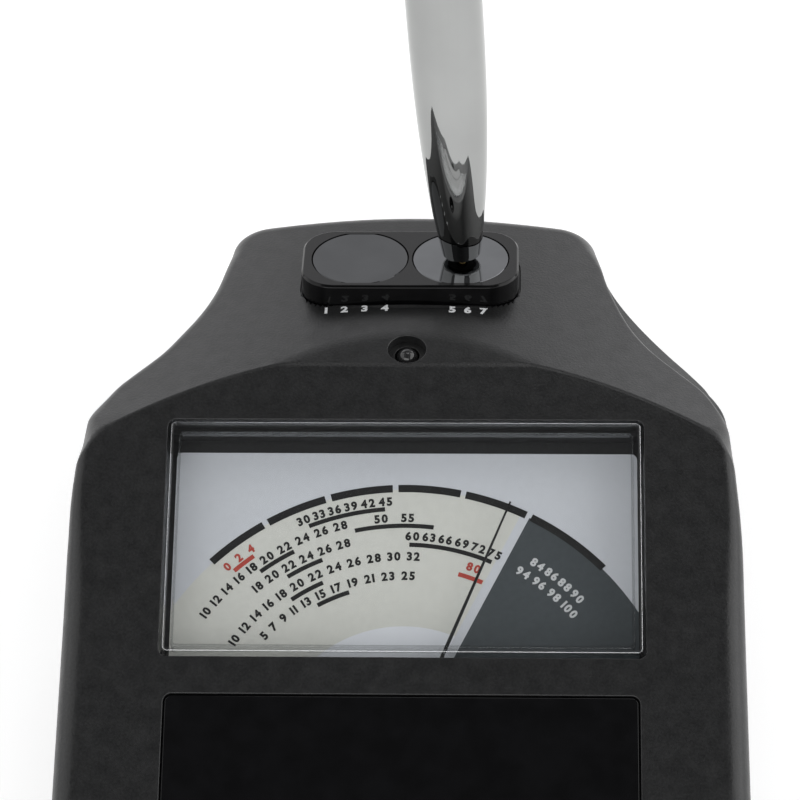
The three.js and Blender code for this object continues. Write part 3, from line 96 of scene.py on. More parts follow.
SLOT_HALF, SLOT_FAR, SLOT_TOP = 26.25, -67.7, 3.05
BAY_HALF, BAY_NEAR, BAY_FAR, BAY_TOP = 25.05, -102.85, -69.35, 14.1
SCREWS = ((18.0, 24.0), (-18.0, 24.0), (33.0, -98.0), (-33.0, -98.0))
FEET = ((22.0, 9.0), (-22.0, 9.0), (35.0, -84.0), (-35.0, -84.0))
SCREW_POCKET, SCREW_SEAT, SCREW_HEAD = (3.0, 4.0), 2.3, 2.7
CROSS_ARM, CROSS_HALF, CROSS_DEPTH, CROSS_TAPER = 1.5, 0.34, 1.1, 0.7
POCKET_EDGE, LIP_INSET, LIP_RISE = 0.12, 1.3, 1.4
FOOT_POCKET, FOOT_RADIUS, FOOT_TOP, FOOT_EDGE = (4.1, 1.6), 4.0, 1.5, 0.35
SOCKET_HEIGHT, SOCKET_RADIUS, SOCKET_BORE, SOCKET_CLEARANCE = 19.0, 4.0, 1.75, 3.0

DIAL_HALF, DIAL_TOP, DIAL_LOW = 30.65, -12.3, -43.0
PRINT, MASK_LEVEL, MASK_WIDTH = 0.015, -6.2, 2.4
SCALE_RADII, SECTOR_RADIUS, INNER_RADIUS = (35.82, 36.85), 36.2, 17.2
SCALE_PARTS = ((-44.5, -31.2), (-30.0, -17.1), (-15.8, -2.8), (-1.6, 11.5), (12.6, 26.0), (27.2, 45.8))
SPLIT_ANGLE, SPLIT_GAP = 26.87, 1.2
FIGURE_HEIGHT, BAR_HALF = 1.14, 0.3
# Rows and bars of the dial: radius, first and last angle, and the numbers
ROWS = ((34.6, -24.5, -3.0, range(30, 46, 3)), (32.25, -55.2, -13.9, range(10, 29, 2)),
        (32.25, -7.4, 2.0, range(50, 56, 5)), (29.7, -41.9, -14.2, range(18, 29, 2)),
        (29.7, 0.0, 25.2, range(60, 76, 3)), (26.9, -57.0, 4.2, range(10, 33, 2)),
        (24.2, -50.0, 3.2, range(5, 26, 2)))
BARS = ((33.5, -22.4, -4.7), (31.1, -37.7, -28.1), (31.1, -12.4, 6.9), (28.45, -32.8, -22.5), (28.46, 1.1, 23.6),
        (25.5, -35.5, -24.9), (23.0, -29.6, -18.4))
RED_ROWS = ((34.5, -43.5, -35.6, range(0, 5, 2)), (26.9, 16.5, 22.8, [80]))
RED_BARS = ((33.4, -42.3, -36.7), (25.4, 16.1, 23.7))
WHITE_ROWS = ((31.2, 32.3, 48.3, range(84, 91, 2)), (29.2, 30.4, 50.2, range(94, 101, 2)))
HEAD_FIGURE_HEIGHT = 1.42
HEAD_ROWS = ((range(1, 5), -11.45, -2.74, 10.45), (range(5, 8), 5.41, 10.66, 10.25))


# Frames on the device: an origin with its across, up and out directions
class Place:
    def __init__(self, origin, tilt, lean=0.0, base=None):
        turn = Matrix.Rotation(tilt, 3, "X") @ Matrix.Rotation(lean, 3, "Y")
        if base is not None:
            turn = Matrix(base.turn.tolist()) @ turn
        self.origin = np.array(origin, float)
        self.turn = np.array(turn)

    def at(self, u, v, w):
        u, v, w = np.broadcast_arrays(np.asarray(u, float), np.asarray(v, float), np.asarray(w, float))
        return self.origin + np.stack([u, v, w], -1) @ self.turn.T

    def along(self, u, v, w):
        return self.at(u, v, w) - self.origin

    def on(self, plan, w):
        return self.at(plan[..., 0], plan[..., 1], w)


LEVEL = Place((0, 0, 0), 0)
FACE = Place((0, 0, RIDGE), FACE_TILT)
HEAD = Place((0, 0, RIDGE), -HEAD_SLOPE)
FACET = Place(FACE.at(0, -1.96, 0), FACE_TILT - FACET_TURN)
PEN = Place(HEAD.at(PEN_OFFSET, DISC_V, PLATE_RISE - DISC_INSET), 0, -PEN_LEAN, HEAD)

swing = [j for j in frame["joints"] if j["name"] == "needle_swing"][0]
SHIFT = np.array(swing["pos_m"]) * 1000 - FACE.at(0, PIVOT, 0)


def to_row(points):
    """Device millimetres to the row frame's metres."""
    return (np.asarray(points, float) + SHIFT) / 1000


def lifted(plan, level):
    """Plan points or directions with their height."""
    return np.column_stack([plan, np.broadcast_to(level, len(plan))])


def add_object(name, data):
    obj = bpy.data.objects.new(name, data)
    bpy.context.scene.collection.objects.link(obj)
    return obj


# Skin: the vertices, faces and smooth normals of one piece
class Skin:
    def __init__(self):
        self.points, self.normals, self.faces, self.count = [], [], [], 0

    def add(self, points, normals, faces):
        """Points with their normals, and faces, each one wound to face along its normals."""
        points = np.asarray(points, float).reshape(-1, 3)
        normals = np.broadcast_to(np.asarray(normals, float).reshape(-1, 3), points.shape)
        for face in faces:
            arms = points[face] - points[face[0]]
            if np.cross(arms[1:-1], arms[2:]).sum(0) @ normals[face].sum(0) < 0:
                face = face[::-1]
            self.faces.append([i + self.count for i in face])
        self.points.append(points)
        self.normals.append(normals)
        self.count += len(points)

    def grid(self, points, normals, closed=True, keep=lambda r, c: True):
        """Quads between rows of points. keep says for a row and a column whether its quad stays."""
        rows, columns = points.shape[:2]
        faces = []
        for r in range(rows - 1):
            for c in range(columns if closed else columns - 1):
                if keep(r, c):
                    d = (c + 1) % columns
                    faces.append([r * columns + c, r * columns + d, (r + 1) * columns + d, (r + 1) * columns + c])
        self.add(points, normals, faces)

    def patch(self, points, normal):
        """A flat convex polygon."""
        self.add(points, normal, [list(range(len(points)))])

    def build(self, name, look, slot, *nodes, body="housing"):
        """The piece's object, with its body and the CAD nodes that it replaces. The slot is not used."""
        points, normals = np.concatenate(self.points), np.concatenate(self.normals)
        key = np.round(np.hstack([points * 500, normals * 2000])).astype(int)
        _, first, index = np.unique(key, axis=0, return_index=True, return_inverse=True)
        index = index.reshape(-1)
        faces = []
        for face in self.faces:
            loop = [int(index[i]) for i in face]
            loop = [v for i, v in enumerate(loop) if v != loop[i - 1]]
            if len(loop) > 2 and len(set(loop)) == len(loop):
                faces.append(loop)
        mesh = bpy.data.meshes.new(name)
        mesh.from_pydata(to_row(points[first]).tolist(), [], faces)
        mesh.validate()
        mesh.polygons.foreach_set("use_smooth", [True] * len(mesh.polygons))
        if len(mesh.vertices) == len(first):
            mesh.normals_split_custom_set_from_vertices(normals[first].tolist())
        mesh.materials.append(look.material)
        obj = add_object(name, mesh)
        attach(obj, body)
        if nodes:
            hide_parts(*nodes)


def quarter(*degrees):
    """Inset, rise and the normal's outward and upward parts, round a lower edge of radius 1."""
    return [(1 - math.sin(a), 1 - math.cos(a), math.sin(a), -math.cos(a)) for a in np.radians(degrees)]


# Closed loops in a plane: base points and outward directions
def circle(centre=(0, 0), steps=64):
    a = np.linspace(0, 2 * math.pi, steps, endpoint=False)
    out = np.stack([np.cos(a), np.sin(a)], -1)
    return np.zeros_like(out) + centre, out


def rounded(rectangle, steps=8):
    left, right, bottom, top, r = rectangle
    base, out = [], []
    for cx, cy, start in ((right, top, 0), (left, top, 90), (left, bottom, 180), (right, bottom, 270)):
        centre = np.array([cx - math.copysign(r, cx - (left + right) / 2),
                           cy - math.copysign(r, cy - (bottom + top) / 2)])
        for a in np.radians(np.linspace(start, start + 90, steps + 1)):
            direction = np.array([math.cos(a), math.sin(a)])
            base.append(centre + direction * r)
            out.append(direction)
    return np.array(base), np.array(out)


def grown(rectangle, by):
    left, right, bottom, top, r = rectangle
    return left - by, right + by, bottom - by, top + by, r + by


def profile(corners, steps=5):
    """Rows of (reach, height, outward, upward) along a line of (reach, height, rounding) corners.
    The line goes up the outside and then inwards, so its outer side is on its right."""
    rows = []
    spots = [np.array(corner[:2], float) for corner in corners]
    for i, (at, corner) in enumerate(zip(spots, corners)):
        legs = [b - a for a, b in zip(spots[max(i - 1, 0):i + 1], spots[max(i, 1):i + 2])]
        ways = [leg / np.linalg.norm(leg) for leg in legs]
        if len(corner) > 2 and len(ways) == 2:
            turn = math.acos(np.clip(ways[0] @ ways[1], -1, 1))
            reach = min(corner[2] * math.tan(turn / 2), *(0.5 * np.linalg.norm(leg) for leg in legs))
            start, end = at - ways[0] * reach, at + ways[1] * reach
            for s in np.linspace(0, 1, steps + 1):
                point = (1 - s) ** 2 * start + 2 * s * (1 - s) * at + s * s * end
                way = (1 - s) * ways[0] + s * ways[1]
                way = way / np.linalg.norm(way)
                rows.append((*point, way[1], -way[0]))
        else:
            rows += [(*at, w[1], -w[0]) for w in ways]
    return rows


def sweep(skin, place, loop, rows, cap=True, foot=False, arched=False):
    """Rows of a profile round a closed loop, with a flat cap on the last row or a foot on the first one.
    Where arched, the rows at the top follow the head's arch."""
    base, out = loop
    rows = np.array(rows)
    plan = base[None] + out[None] * rows[:, 0, None, None]
    height = rows[:, 1, None]
    if arched:
        height = height - arch_drop(place, plan[..., 0]) * (height > -CUT_EDGE - 0.01)
    points = place.on(plan, height)
    skin.grid(points, place.on(out[None] * rows[:, 2, None, None], rows[:, 3, None]) - place.origin)
    if cap:
        skin.patch(points[-1], place.along(0, 0, 1))
    if foot:
        skin.patch(points[0], place.along(0, 0, -1))


def swept(place, loop, rows, name, look, slot, *nodes, body="housing", **ends):
    """A piece that is one sweep."""
    skin = Skin()
    sweep(skin, place, loop, rows, **ends)
    skin.build(name, look, slot, *nodes, body=body)


# Flat faces between loops of plan points
def ring_pairs(first, count):
    """Edges that close a ring of points, which are numbered from the first one on."""
    index = np.arange(first, first + count)
    return np.column_stack([index, np.roll(index, -1)])


def triangulate(points, pairs):
    """Plan points and triangles that keep the edges between pairs of points."""
    result = delaunay_2d_cdt([Vector(p) for p in points], [(int(a), int(b)) for a, b in pairs], [], 0, 1e-5)
    return np.array([v[:] for v in result[0]]), [list(f) for f in result[2]]


def within(points, loop):
    """Which plan points lie inside a loop."""
    inside = np.zeros(len(points), bool)
    for a, b in zip(loop, np.roll(loop, -1, 0)):
        if a[1] != b[1]:
            crosses = (a[1] > points[:, 1]) != (b[1] > points[:, 1])
            inside ^= crosses & (points[:, 0] < (b[0] - a[0]) * (points[:, 1] - a[1]) / (b[1] - a[1]) + a[0])
    return inside


def flat_with_holes(skin, place, outer, holes, level, facing):
    """Flat face inside one loop of plan points and outside others."""
    loops = [outer, *holes]
    starts = np.cumsum([0, *map(len, loops)])
    pairs = np.concatenate([ring_pairs(start, len(loop)) for start, loop in zip(starts, loops)])
    plan, faces = triangulate(np.concatenate(loops), pairs)
    middle = np.array([plan[f].mean(0) for f in faces])
    keep = within(middle, outer)
    for ring in holes:
        keep &= ~within(middle, ring)
    skin.add(place.on(plan, level), place.along(0, 0, facing), [f for f, k in zip(faces, keep) if k])


def smooth(share):
    share = np.clip(share, 0, 1)
    return share * share * (3 - 2 * share)


def left_waist(y):
    """The left flank is a little narrower at the shoulder than the right one."""
    bumps = ((0.011, -8, 4, 31, 6), (0.018, -8, 5, 9, 6), (-0.006, -26, 8, -11, 4))
    return sum(size * smooth((y - low) / rise) * smooth((high - y) / fall) for size, low, rise, high, fall in bumps)


# The housing's outline in plan, with its outward directions
def outline():
    corners = [(-CORNERS[1][0], *CORNERS[1][1:]), *CORNERS, (-CORNERS[-2][0], *CORNERS[-2][1:])]
    line = []
    for i in range(1, len(corners) - 1):
        at, before, after = (np.array(corners[k][:2], float) for k in (i, i - 1, i + 1))
        back = (before - at) / np.linalg.norm(before - at)
        ahead = (after - at) / np.linalg.norm(after - at)
        half = math.acos(np.clip(back @ ahead, -1, 1)) / 2
        middle = (back + ahead) / np.linalg.norm(back + ahead)
        radius = corners[i][2]
        centre = at + middle * radius / math.sin(half)
        start = at + back * radius / math.tan(half) - centre
        end = at + ahead * radius / math.tan(half) - centre
        sweep_angle = math.atan2(start[0] * end[1] - start[1] * end[0], start @ end)
        arc = [centre + [math.cos(t) * start[0] - math.sin(t) * start[1],
                         math.sin(t) * start[0] + math.cos(t) * start[1]]
               for t in np.linspace(0, sweep_angle, ARC_POINTS)]
        if i == 1:
            arc = arc[ARC_POINTS // 2:]
        if i == len(corners) - 2:
            arc = arc[:ARC_POINTS // 2 + 1]
        line += arc
    line = np.array(line)
    line = line[np.r_[True, np.linalg.norm(np.diff(line, axis=0), axis=1) > 1e-6]]
    middle = (line[1:] + line[:-1]) / 2
    shoulder = (middle[:, 0] > 28) & (np.abs(middle[:, 1] + 8) < 15)
    pace = np.where(shoulder, 0.42, np.where(middle[:, 1] < -26, 1.0, 0.7))
    paces = np.r_[0, np.cumsum(np.linalg.norm(np.diff(line, axis=0), axis=1) / pace)]
    even = np.linspace(0, paces[-1], int(paces[-1]) + 1)
    right = np.stack([np.interp(even, paces, line[:, k]) for k in (0, 1)], -1)
    right[0, 0] = right[-1, 0] = 0
    left = right[-2:0:-1] * [-1, 1]
    left[:, 0] *= 1 - left_waist(left[:, 1])
    loop = np.concatenate([right, left])
    along = np.roll(loop, -1, 0) - np.roll(loop, 1, 0)
    along /= np.linalg.norm(along, axis=1)[:, None]
    return loop, np.stack([-along[:, 1], along[:, 0]], -1)


OUTLINE = outline()


def spread(z):
    """How far the drafted walls stand out from the outline at a height."""
    z = np.asarray(z, float)
    return np.where(z >= SEAM, (DATUM - z) * DRAFT, (DATUM - SEAM) * DRAFT - (SEAM - z) * DRAFT)


def reach_to_outline(x, y):
    """Distance from the outline at the draft's datum, below zero inside."""
    loop = OUTLINE[0]
    points = np.stack([x, y], -1)
    best = np.full(len(x), 1e9)
    for a, edge in zip(loop, np.roll(loop, -1, 0) - loop):
        share = np.clip(((points - a) @ edge) / (edge ** 2).sum(), 0, 1)
        best = np.minimum(best, ((points - a - share[:, None] * edge) ** 2).sum(1))
    return np.where(within(points, loop), -1, 1) * np.sqrt(best)


def rounded_max(a, b, radius):
    return np.minimum(np.maximum(a, b), -radius) + np.hypot(np.maximum(a + radius, 0), np.maximum(b + radius, 0))


def ridge_line(x):
    bend = 2 * ARCH_RADIUS * math.cos(HEAD_SLOPE) * (math.tan(FACE_TILT) + math.tan(HEAD_SLOPE))
    return -np.asarray(x, float) ** 2 / bend


def ridge_round(x):
    """The ridge is crisp in the middle and softer towards the shoulders."""
    return RIDGE_ROUND + 0.5 * smooth((np.abs(x) - 38) / 6)


def recess(x, y):
    """How far the head's surface stays back from the outline along the right flank's ledge."""
    return np.where(x > 12, LEDGE_RECESS * smooth((17 - y) / 13) * smooth((y - LEDGE_END) / 6), 0)


def free_reach(x, y):
    return reach_to_outline(x, y) + recess(x, y)


def head_edge(x, y):
    """Rounding between the wall and the head: wide at the shoulders, narrow on the flanks."""
    flank = np.where(x > 0, RIGHT_FLANK_EDGE, LEFT_FLANK_EDGE)
    far = flank + (HEAD_EDGE - flank) * smooth((y - 21) / 8)
    return SHOULDER_EDGE + (far - SHOULDER_EDGE) * smooth((y - ridge_line(x) + 2) / 9)


def face_edge(y):
    return FACE_EDGE_TOP + (FACE_EDGE - FACE_EDGE_TOP) * smooth((-14 - y) / 24)


def shell_value(x, y, z, reach):
    """Below zero inside the front shell's outer surface."""
    wall = reach - (DATUM - z) * DRAFT
    face = (z - RIDGE - y * math.tan(FACE_TILT)) * math.cos(FACE_TILT)
    arch = x * x / (2 * ARCH_RADIUS * math.cos(HEAD_SLOPE))
    head = (z - RIDGE + y * math.tan(HEAD_SLOPE) + arch) * math.cos(HEAD_SLOPE)
    normal = FACET.along(0, 0, 1)
    facet = (y - FACET.origin[1]) * normal[1] + (z - FACET.origin[2]) * normal[2]
    head = rounded_max(wall, rounded_max(head, facet, RIDGE_ROUND), head_edge(x, y))
    face = rounded_max(wall, face, face_edge(y))
    return rounded_max(face, head, ridge_round(x) * smooth(-wall / 2.5))


def shell_height(place_at):
    """Height of the outer surface. place_at gives x, y and the reach for heights."""
    low, high = 5.0, 60.0
    for _ in range(34):
        z = (low + high) / 2
        x, y, reach = place_at(z)
        inside = shell_value(x, y, z, reach) < 0
        low, high = np.where(inside, z, low), np.where(inside, high, z)
    return (low + high) / 2


def shell_normals(x, y, z):
    def value(x, y, z):
        return shell_value(x, y, z, free_reach(x, y))

    slope = [value(x + dx, y + dy, z + dz) - value(x - dx, y - dy, z - dz) for dx, dy, dz in 0.02 * np.eye(3)]
    normal = np.stack(slope, -1)
    return normal / np.linalg.norm(normal, axis=1)[:, None]


def loop_in(place, loop, offset):
    """Plan points of a loop that lies on a frame's zero level."""
    base, out = loop
    return place.on(base + out * offset, 0)


def inside_rounded(u, v, rectangle, grow):
    left, right, bottom, top, r = rectangle
    qx = np.abs(u - (left + right) / 2) - (right - left) / 2 + r
    qy = np.abs(v - (bottom + top) / 2) - (top - bottom) / 2 + r
    return np.hypot(np.maximum(qx, 0), np.maximum(qy, 0)) + np.minimum(np.maximum(qx, qy), 0) - r < grow


def top_cutouts():
    """Openings of the front shell: frame, loop, the loop's growth, depth, floor and a test for points inside."""
    def framed(place, rectangle, steps, depth, floor):
        return place, rounded(rectangle, steps), 0, depth, floor, lambda u, v, g: inside_rounded(u, v, rectangle, g)

    def drilled(place, at, radius, steps):
        return place, circle((0, at), steps), radius, WALL, False, lambda u, v, g: np.hypot(u, v - at) < radius + g

    return [
        framed(FACE, WINDOW, 6, 2 * WALL, False),
        framed(FACE, grown(LABEL, LABEL_GAP), 6, LABEL_INSET + LABEL_THICKNESS + 0.3, True),
        drilled(FACE, BUTTON_V, BUTTON_RADIUS + BUTTON_GAP, 72),
        drilled(FACET, LAMP_V, LAMP_HOLE, 64),
        framed(HEAD, grown(PLATE, PLATE_GAP), 10, PLATE_SINK + 0.3, True),
    ]


def arch_drop(place, u):
    """How far the surface lies below a frame's zero level."""
    return np.asarray(u, float) ** 2 / (2 * ARCH_RADIUS) * (place is HEAD)


DEEPEST = SHOULDER_EDGE + 0.15
RING_INSETS = (0.003, 0.03, 0.08, 0.16, 0.27, 0.42, 0.62, 0.88, 1.2, 1.6, 2.05, 2.55, 3.1, DEEPEST)


def crease_lines():
    """Plan lines along the soft creases between face, head and facet."""
    for share in (-1.8, -1.2, -0.6, 0, 0.6, 1.2, 1.8):
        for sign in (-1, 1):
            x = np.linspace(15.4, 41, 36) * sign
            y = ridge_line(x) + share * ridge_round(x)
            yield np.column_stack([x, y])[free_reach(x, y) < -DEEPEST - 0.3]
    arch = 2 * ARCH_RADIUS * math.cos(HEAD_SLOPE)
    fall = math.tan(HEAD_SLOPE) - math.tan(FACET_TURN - FACE_TILT)
    start = FACET.origin[2] + FACET.origin[1] * math.tan(FACET_TURN - FACE_TILT)
    for shift in (-0.9, -0.6, -0.3, 0, 0.3, 0.6, 0.9):
        x = np.linspace(-16.4, 16.4, 41)
        yield np.column_stack([x, (RIDGE - x * x / arch - start) / fall + shift])
    for shift in (-0.5, -0.3, -0.15, 0, 0.15, 0.3, 0.5):
        x = np.linspace(-16.6, 16.6, 34)
        yield np.column_stack([x, np.full_like(x, FACET.origin[1] + shift)])


def front_shell():
    skin = Skin()
    base, out = OUTLINE
    back = recess(base[:, 0], base[:, 1])

    def ring_at(z, inset):
        plan = base + out * (spread(z) - inset - back)[:, None]
        return plan[:, 0], plan[:, 1], spread(z) - inset

    def row_at(z, inset):
        return np.column_stack([*ring_at(z, inset)[:2], z])

    rings = []
    for inset in RING_INSETS:
        rings.append(row_at(shell_height(lambda z: ring_at(z + np.zeros(len(base)), inset)), inset))
    # The seam's small bevel, the drafted wall above it and the rounding
    lowest, bevel = SEAM + SEAM_GAP / 2, 0.25
    rows, normals = [], []
    for drop, inset, tilt in ((0, 1.2, 90), (0, bevel, 90), (0.08, 0.08, 45), (bevel, 0, 0)):
        rows.append(row_at(np.full(len(base), lowest + drop), inset))
        lean = math.radians(tilt)
        normals.append(lifted(out * math.cos(lean), -math.sin(lean)))
    side = lifted(out * math.cos(DRAFT_ANGLE), math.sin(DRAFT_ANGLE))
    for share in np.linspace(0, 1, 17)[1:]:
        rows.append(row_at(lowest + bevel + (rings[0][:, 2] - lowest - bevel) * share, 0))
        normals.append(side)
    rows, normals = np.array(rows + rings[1:]), np.array(normals + [shell_normals(*r.T) for r in rings[1:]])

    def clear_of_socket(r, c):
        x, y, z = rows[r:r + 2, [c, (c + 1) % len(base)]].mean((0, 1))
        return y < 25 or math.hypot(x, z - SOCKET_HEIGHT) > SOCKET_CLEARANCE

    skin.grid(rows, normals, keep=clear_of_socket)
    # Face, head and facet inside the rounding, with the openings
    ring = rings[-1][:, :2]
    points, edges = [ring], [ring_pairs(0, len(ring))]

    def line(plan, closed):
        pairs = ring_pairs(sum(map(len, points)), len(plan))
        points.append(plan)
        edges.append(pairs if closed else pairs[:-1])

    cutouts = top_cutouts()
    for place, loop, radius, *_ in cutouts:
        for grow in (CUT_EDGE, CUT_EDGE + 0.5):
            line(loop_in(place, loop, radius + grow)[:, :2], True)
    for plan in crease_lines():
        line(plan, False)
    for across, up in ((np.arange(-42, 42.1, 3.0), np.arange(-108, 32, 3.0)),
                       (np.arange(-27, 27.1, 1.5), np.arange(1.5, 30, 1.5))):
        net = np.stack(np.meshgrid(across, up), -1).reshape(-1, 2)
        points.append(net[free_reach(*net.T) < -DEEPEST - 0.6])
    plan, faces = triangulate(np.concatenate(points), np.concatenate(edges))
    reach = free_reach(*plan.T)
    z = shell_height(lambda z: (*plan.T, reach))
    solid = lifted(plan, z)
    middle = np.array([solid[f].mean(0) for f in faces])
    keep = within(middle, ring)
    for place, _, _, _, _, inside in cutouts:
        up = (middle[:, 1] - place.origin[1]) / place.turn[1, 1]
        if place is not FACE:
            up = ((middle - place.origin) @ place.turn)[:, 1]
        keep &= ~inside(middle[:, 0], up, CUT_EDGE - 0.01)
    skin.add(solid, shell_normals(*solid.T), [f for f, k in zip(faces, keep) if k])
    # Edges and walls of the openings
    for place, loop, radius, depth, floor, _ in cutouts:
        rows = [(radius + CUT_EDGE * i, -CUT_EDGE * h, -o, -n) for i, h, o, n in quarter(0, 22.5, 45, 67.5, 90)]
        rows += [(radius, -depth, -1, 0)] + [(radius, -depth, 0, 1)] * floor
        sweep(skin, place, loop, rows, cap=floor, arched=True)
    ledge(skin)
    skin.build("housing_front", SHELL, "shell_plastic", "front_shell")


def ledge(skin):
    """Strip of wall along the right flank that ends below the head surface."""
    base, out = OUTLINE
    chosen = [i for i in range(len(base)) if base[i, 0] > 0 and LEDGE_END < base[i, 1] < LEDGE_FAR]
    line, way = base[chosen], out[chosen]
    share = np.clip((LEDGE_FAR - line[:, 1]) / (LEDGE_FAR - LEDGE_NEAR), 0, 1)
    bulge = LEDGE_REACH * np.abs(np.sin(math.pi * share ** LEDGE_SKEW)) ** LEDGE_POWER - 0.05
    edge = 0.3
    up = HEAD.along(0, 0, 1)

    def row(reach, drop, lift, side):
        plan = line + way * reach[:, None]
        head = RIDGE - plan[:, 1] * math.tan(HEAD_SLOPE) - plan[:, 0] ** 2 / (2 * ARCH_RADIUS * math.cos(HEAD_SLOPE))
        face = RIDGE + plan[:, 1] * math.tan(FACE_TILT)
        sink = LEDGE_DROP + head_edge(plan[:, 0], plan[:, 1]) - RIGHT_FLANK_EDGE
        level = np.minimum(head, face) - sink / math.cos(HEAD_SLOPE) - LEDGE_FALL * np.maximum(reach, -1) - drop
        rows.append(lifted(plan, level))
        normals.append(up * lift + lifted(way * side, 0))

    rows, normals = [], []
    flat = (math.cos(LEDGE_FALL), math.sin(LEDGE_FALL))
    row(np.full(len(line), -2.0), 0, *flat)
    row(np.full(len(line), -1.0), 0, *flat)
    for i, h, o, n in quarter(13, 30, 50, 70, 90):
        row(bulge - edge * i, edge * h, -n, o)
    sides = lifted(way, 0)
    down = np.broadcast_to([0, 0, -1], sides.shape)
    for inset, facing in ((0, sides), (0, down), (1, down)):
        bottom = rows[-1].copy()
        bottom[:, :2] -= way * inset
        bottom[:, 2] = SEAM + SEAM_GAP / 2
        rows.append(bottom)
        normals.append(facing)
    skin.grid(np.array(rows), np.array(normals), closed=False)


# Materials: every colour, roughness and bump comes from nodes
class Tree:
    def __init__(self, tree):
        self.tree = tree

    def node(self, kind, *constants, **values):
        """A node with named settings and sockets. Constants fill its sockets from the second one on."""
        node = self.tree.nodes.new(kind)
        for key, value in values.items():
            if hasattr(node, key):
                setattr(node, key, value)
            else:
                node.inputs[key.replace("_", " ")].default_value = value
        for socket, value in zip(node.inputs[1:], constants):
            socket.default_value = value
        return node

    def link(self, out, into):
        self.tree.links.new(out, into)
        return self


class Look(Tree):
    def __init__(self, name, **sockets):
        self.material = bpy.data.materials.new(name)
        self.material.use_nodes = True
        super().__init__(self.material.node_tree)
        self.shader = self.tree.nodes["Principled BSDF"]
        self.place = self.node("ShaderNodeTexCoord").outputs["Object"]
        for key, value in sockets.items():
            self.shader.inputs[key.replace("_", " ")].default_value = value

    def noise(self, scale, detail=3.0):
        node = self.node("ShaderNodeTexNoise", Scale=scale, Detail=detail, Roughness=0.5)
        self.link(self.place, node.inputs["Vector"])
        return node.outputs["Fac"]

    def colour(self, source, dark, light):
        ramp = self.node("ShaderNodeValToRGB")
        for element, position, tone in zip(ramp.color_ramp.elements, (0.35, 0.65), (dark, light)):
            element.position, element.color = position, (*tone, 1)
        self.link(source, ramp.inputs["Fac"])
        return self.link(ramp.outputs["Color"], self.shader.inputs["Base Color"])

    def rough(self, source, low, high):
        span = self.node("ShaderNodeMapRange", From_Min=0.3, From_Max=0.7, To_Min=low, To_Max=high)
        self.link(source, span.inputs["Value"])
        return self.link(span.outputs["Result"], self.shader.inputs["Roughness"])

    def bump(self, source, distance):
        node = self.node("ShaderNodeBump", Strength=1.0, Distance=distance)
        self.link(source, node.inputs["Height"])
        return self.link(node.outputs["Normal"], self.shader.inputs["Normal"])


def plastic(name, tone, spread_share, rough, grain, depth, **sockets):
    look = Look(name, **sockets)
    dark = tuple(c * (1 - spread_share) for c in tone)
    light = tuple(c * (1 + spread_share) for c in tone)
    fine = look.noise(grain, 4)
    return look.colour(fine, dark, light).rough(look.noise(grain / 6), *rough).bump(fine, depth)


def metal(name, tone, rough, grain=900, depth=0.000004):
    look = Look(name, Metallic=1.0)
    fine = look.noise(grain, 4)
    dark = tuple(c * 0.9 for c in tone)
    return look.colour(fine, dark, tone).rough(look.noise(grain / 4), *rough).bump(fine, depth)


def see_through(name, rough, least):
    """The piece lets light pass straight and mirrors by its angle, as thin clear plastic does.
    Least is the share that it mirrors when seen straight on."""
    look = plastic(name, (0.9, 0.91, 0.92), 0.02, rough, 300, 0.0000004, Metallic=1.0)
    clear = look.node("ShaderNodeBsdfTransparent", Color=(0.97, 0.975, 0.975, 1))
    facing = look.node("ShaderNodeLayerWeight", Blend=0.5)
    steep = look.node("ShaderNodeMath", 5, operation="POWER")
    share = look.node("ShaderNodeMath", 0.995 - least, least, operation="MULTIPLY_ADD")
    mix = look.node("ShaderNodeMixShader")
    look.link(facing.outputs["Facing"], steep.inputs[0]).link(steep.outputs["Value"], share.inputs[0])
    look.link(share.outputs["Value"], mix.inputs["Fac"]).link(clear.outputs["BSDF"], mix.inputs[1])
    look.link(look.shader.outputs["BSDF"], mix.inputs[2])
    return look.link(mix.outputs["Shader"], look.tree.nodes["Material Output"].inputs["Surface"])


SHELL = plastic("shell_black", (0.01, 0.0102, 0.0105), 0.3, (0.3, 0.4), 3000, 0.00003)
INNER = plastic("inner_black", (0.011, 0.011, 0.0115), 0.2, (0.5, 0.62), 1800, 0.00002)
RUBBER = plastic("rubber_black", (0.008, 0.008, 0.0082), 0.25, (0.68, 0.8), 1500, 0.00003)
GLOSS = plastic("label_gloss", (0.0026, 0.0026, 0.003), 0.3, (0.03, 0.06), 300, 0.0000005)
PLATE_LOOK = plastic("plate_gloss", (0.002, 0.002, 0.0022), 0.3, (0.1, 0.16), 500, 0.000001, IOR=1.36)
PAPER_FINISH = (0.38, 0.45), 1200, 0.000004
PAPER = plastic("dial_paper", (0.71, 0.73, 0.775), 0.015, *PAPER_FINISH)
# Painted light: a lighter copy of the dial paper for the inner half-disc, standing in for the stronger light that falls
# on the dial's lower part
PAPER_PAINTED_LIT = plastic("dial_paper_painted_lit", (0.86, 0.88, 0.93), 0.015, *PAPER_FINISH)
BEIGE = plastic("dial_beige", (0.75, 0.75, 0.7), 0.02, *PAPER_FINISH)
SLATE = plastic("dial_slate", (0.068, 0.079, 0.086), 0.05, *PAPER_FINISH)
INK = plastic("ink_black", (0.012, 0.012, 0.012), 0.3, (0.35, 0.45), 1500, 0.000003)
INK_RED = plastic("ink_red", (0.52, 0.075, 0.055), 0.1, (0.35, 0.45), 1500, 0.000003)
INK_WHITE = plastic("ink_white", (0.68, 0.69, 0.7), 0.05, (0.4, 0.5), 1500, 0.000003)
STEEL = metal("steel_zinc", (0.46, 0.47, 0.49), (0.22, 0.36))
BRASS = metal("brass_turned", (0.62, 0.44, 0.18), (0.2, 0.32))
COPPER = metal("copper_wire", (0.62, 0.3, 0.14), (0.25, 0.4), 2200)
ALUMINIUM = metal("aluminium_thin", (0.68, 0.69, 0.7), (0.25, 0.38))
CHROME = metal("pen_chrome", (0.36, 0.365, 0.36), (0.02, 0.035), 60, 0.0000003)
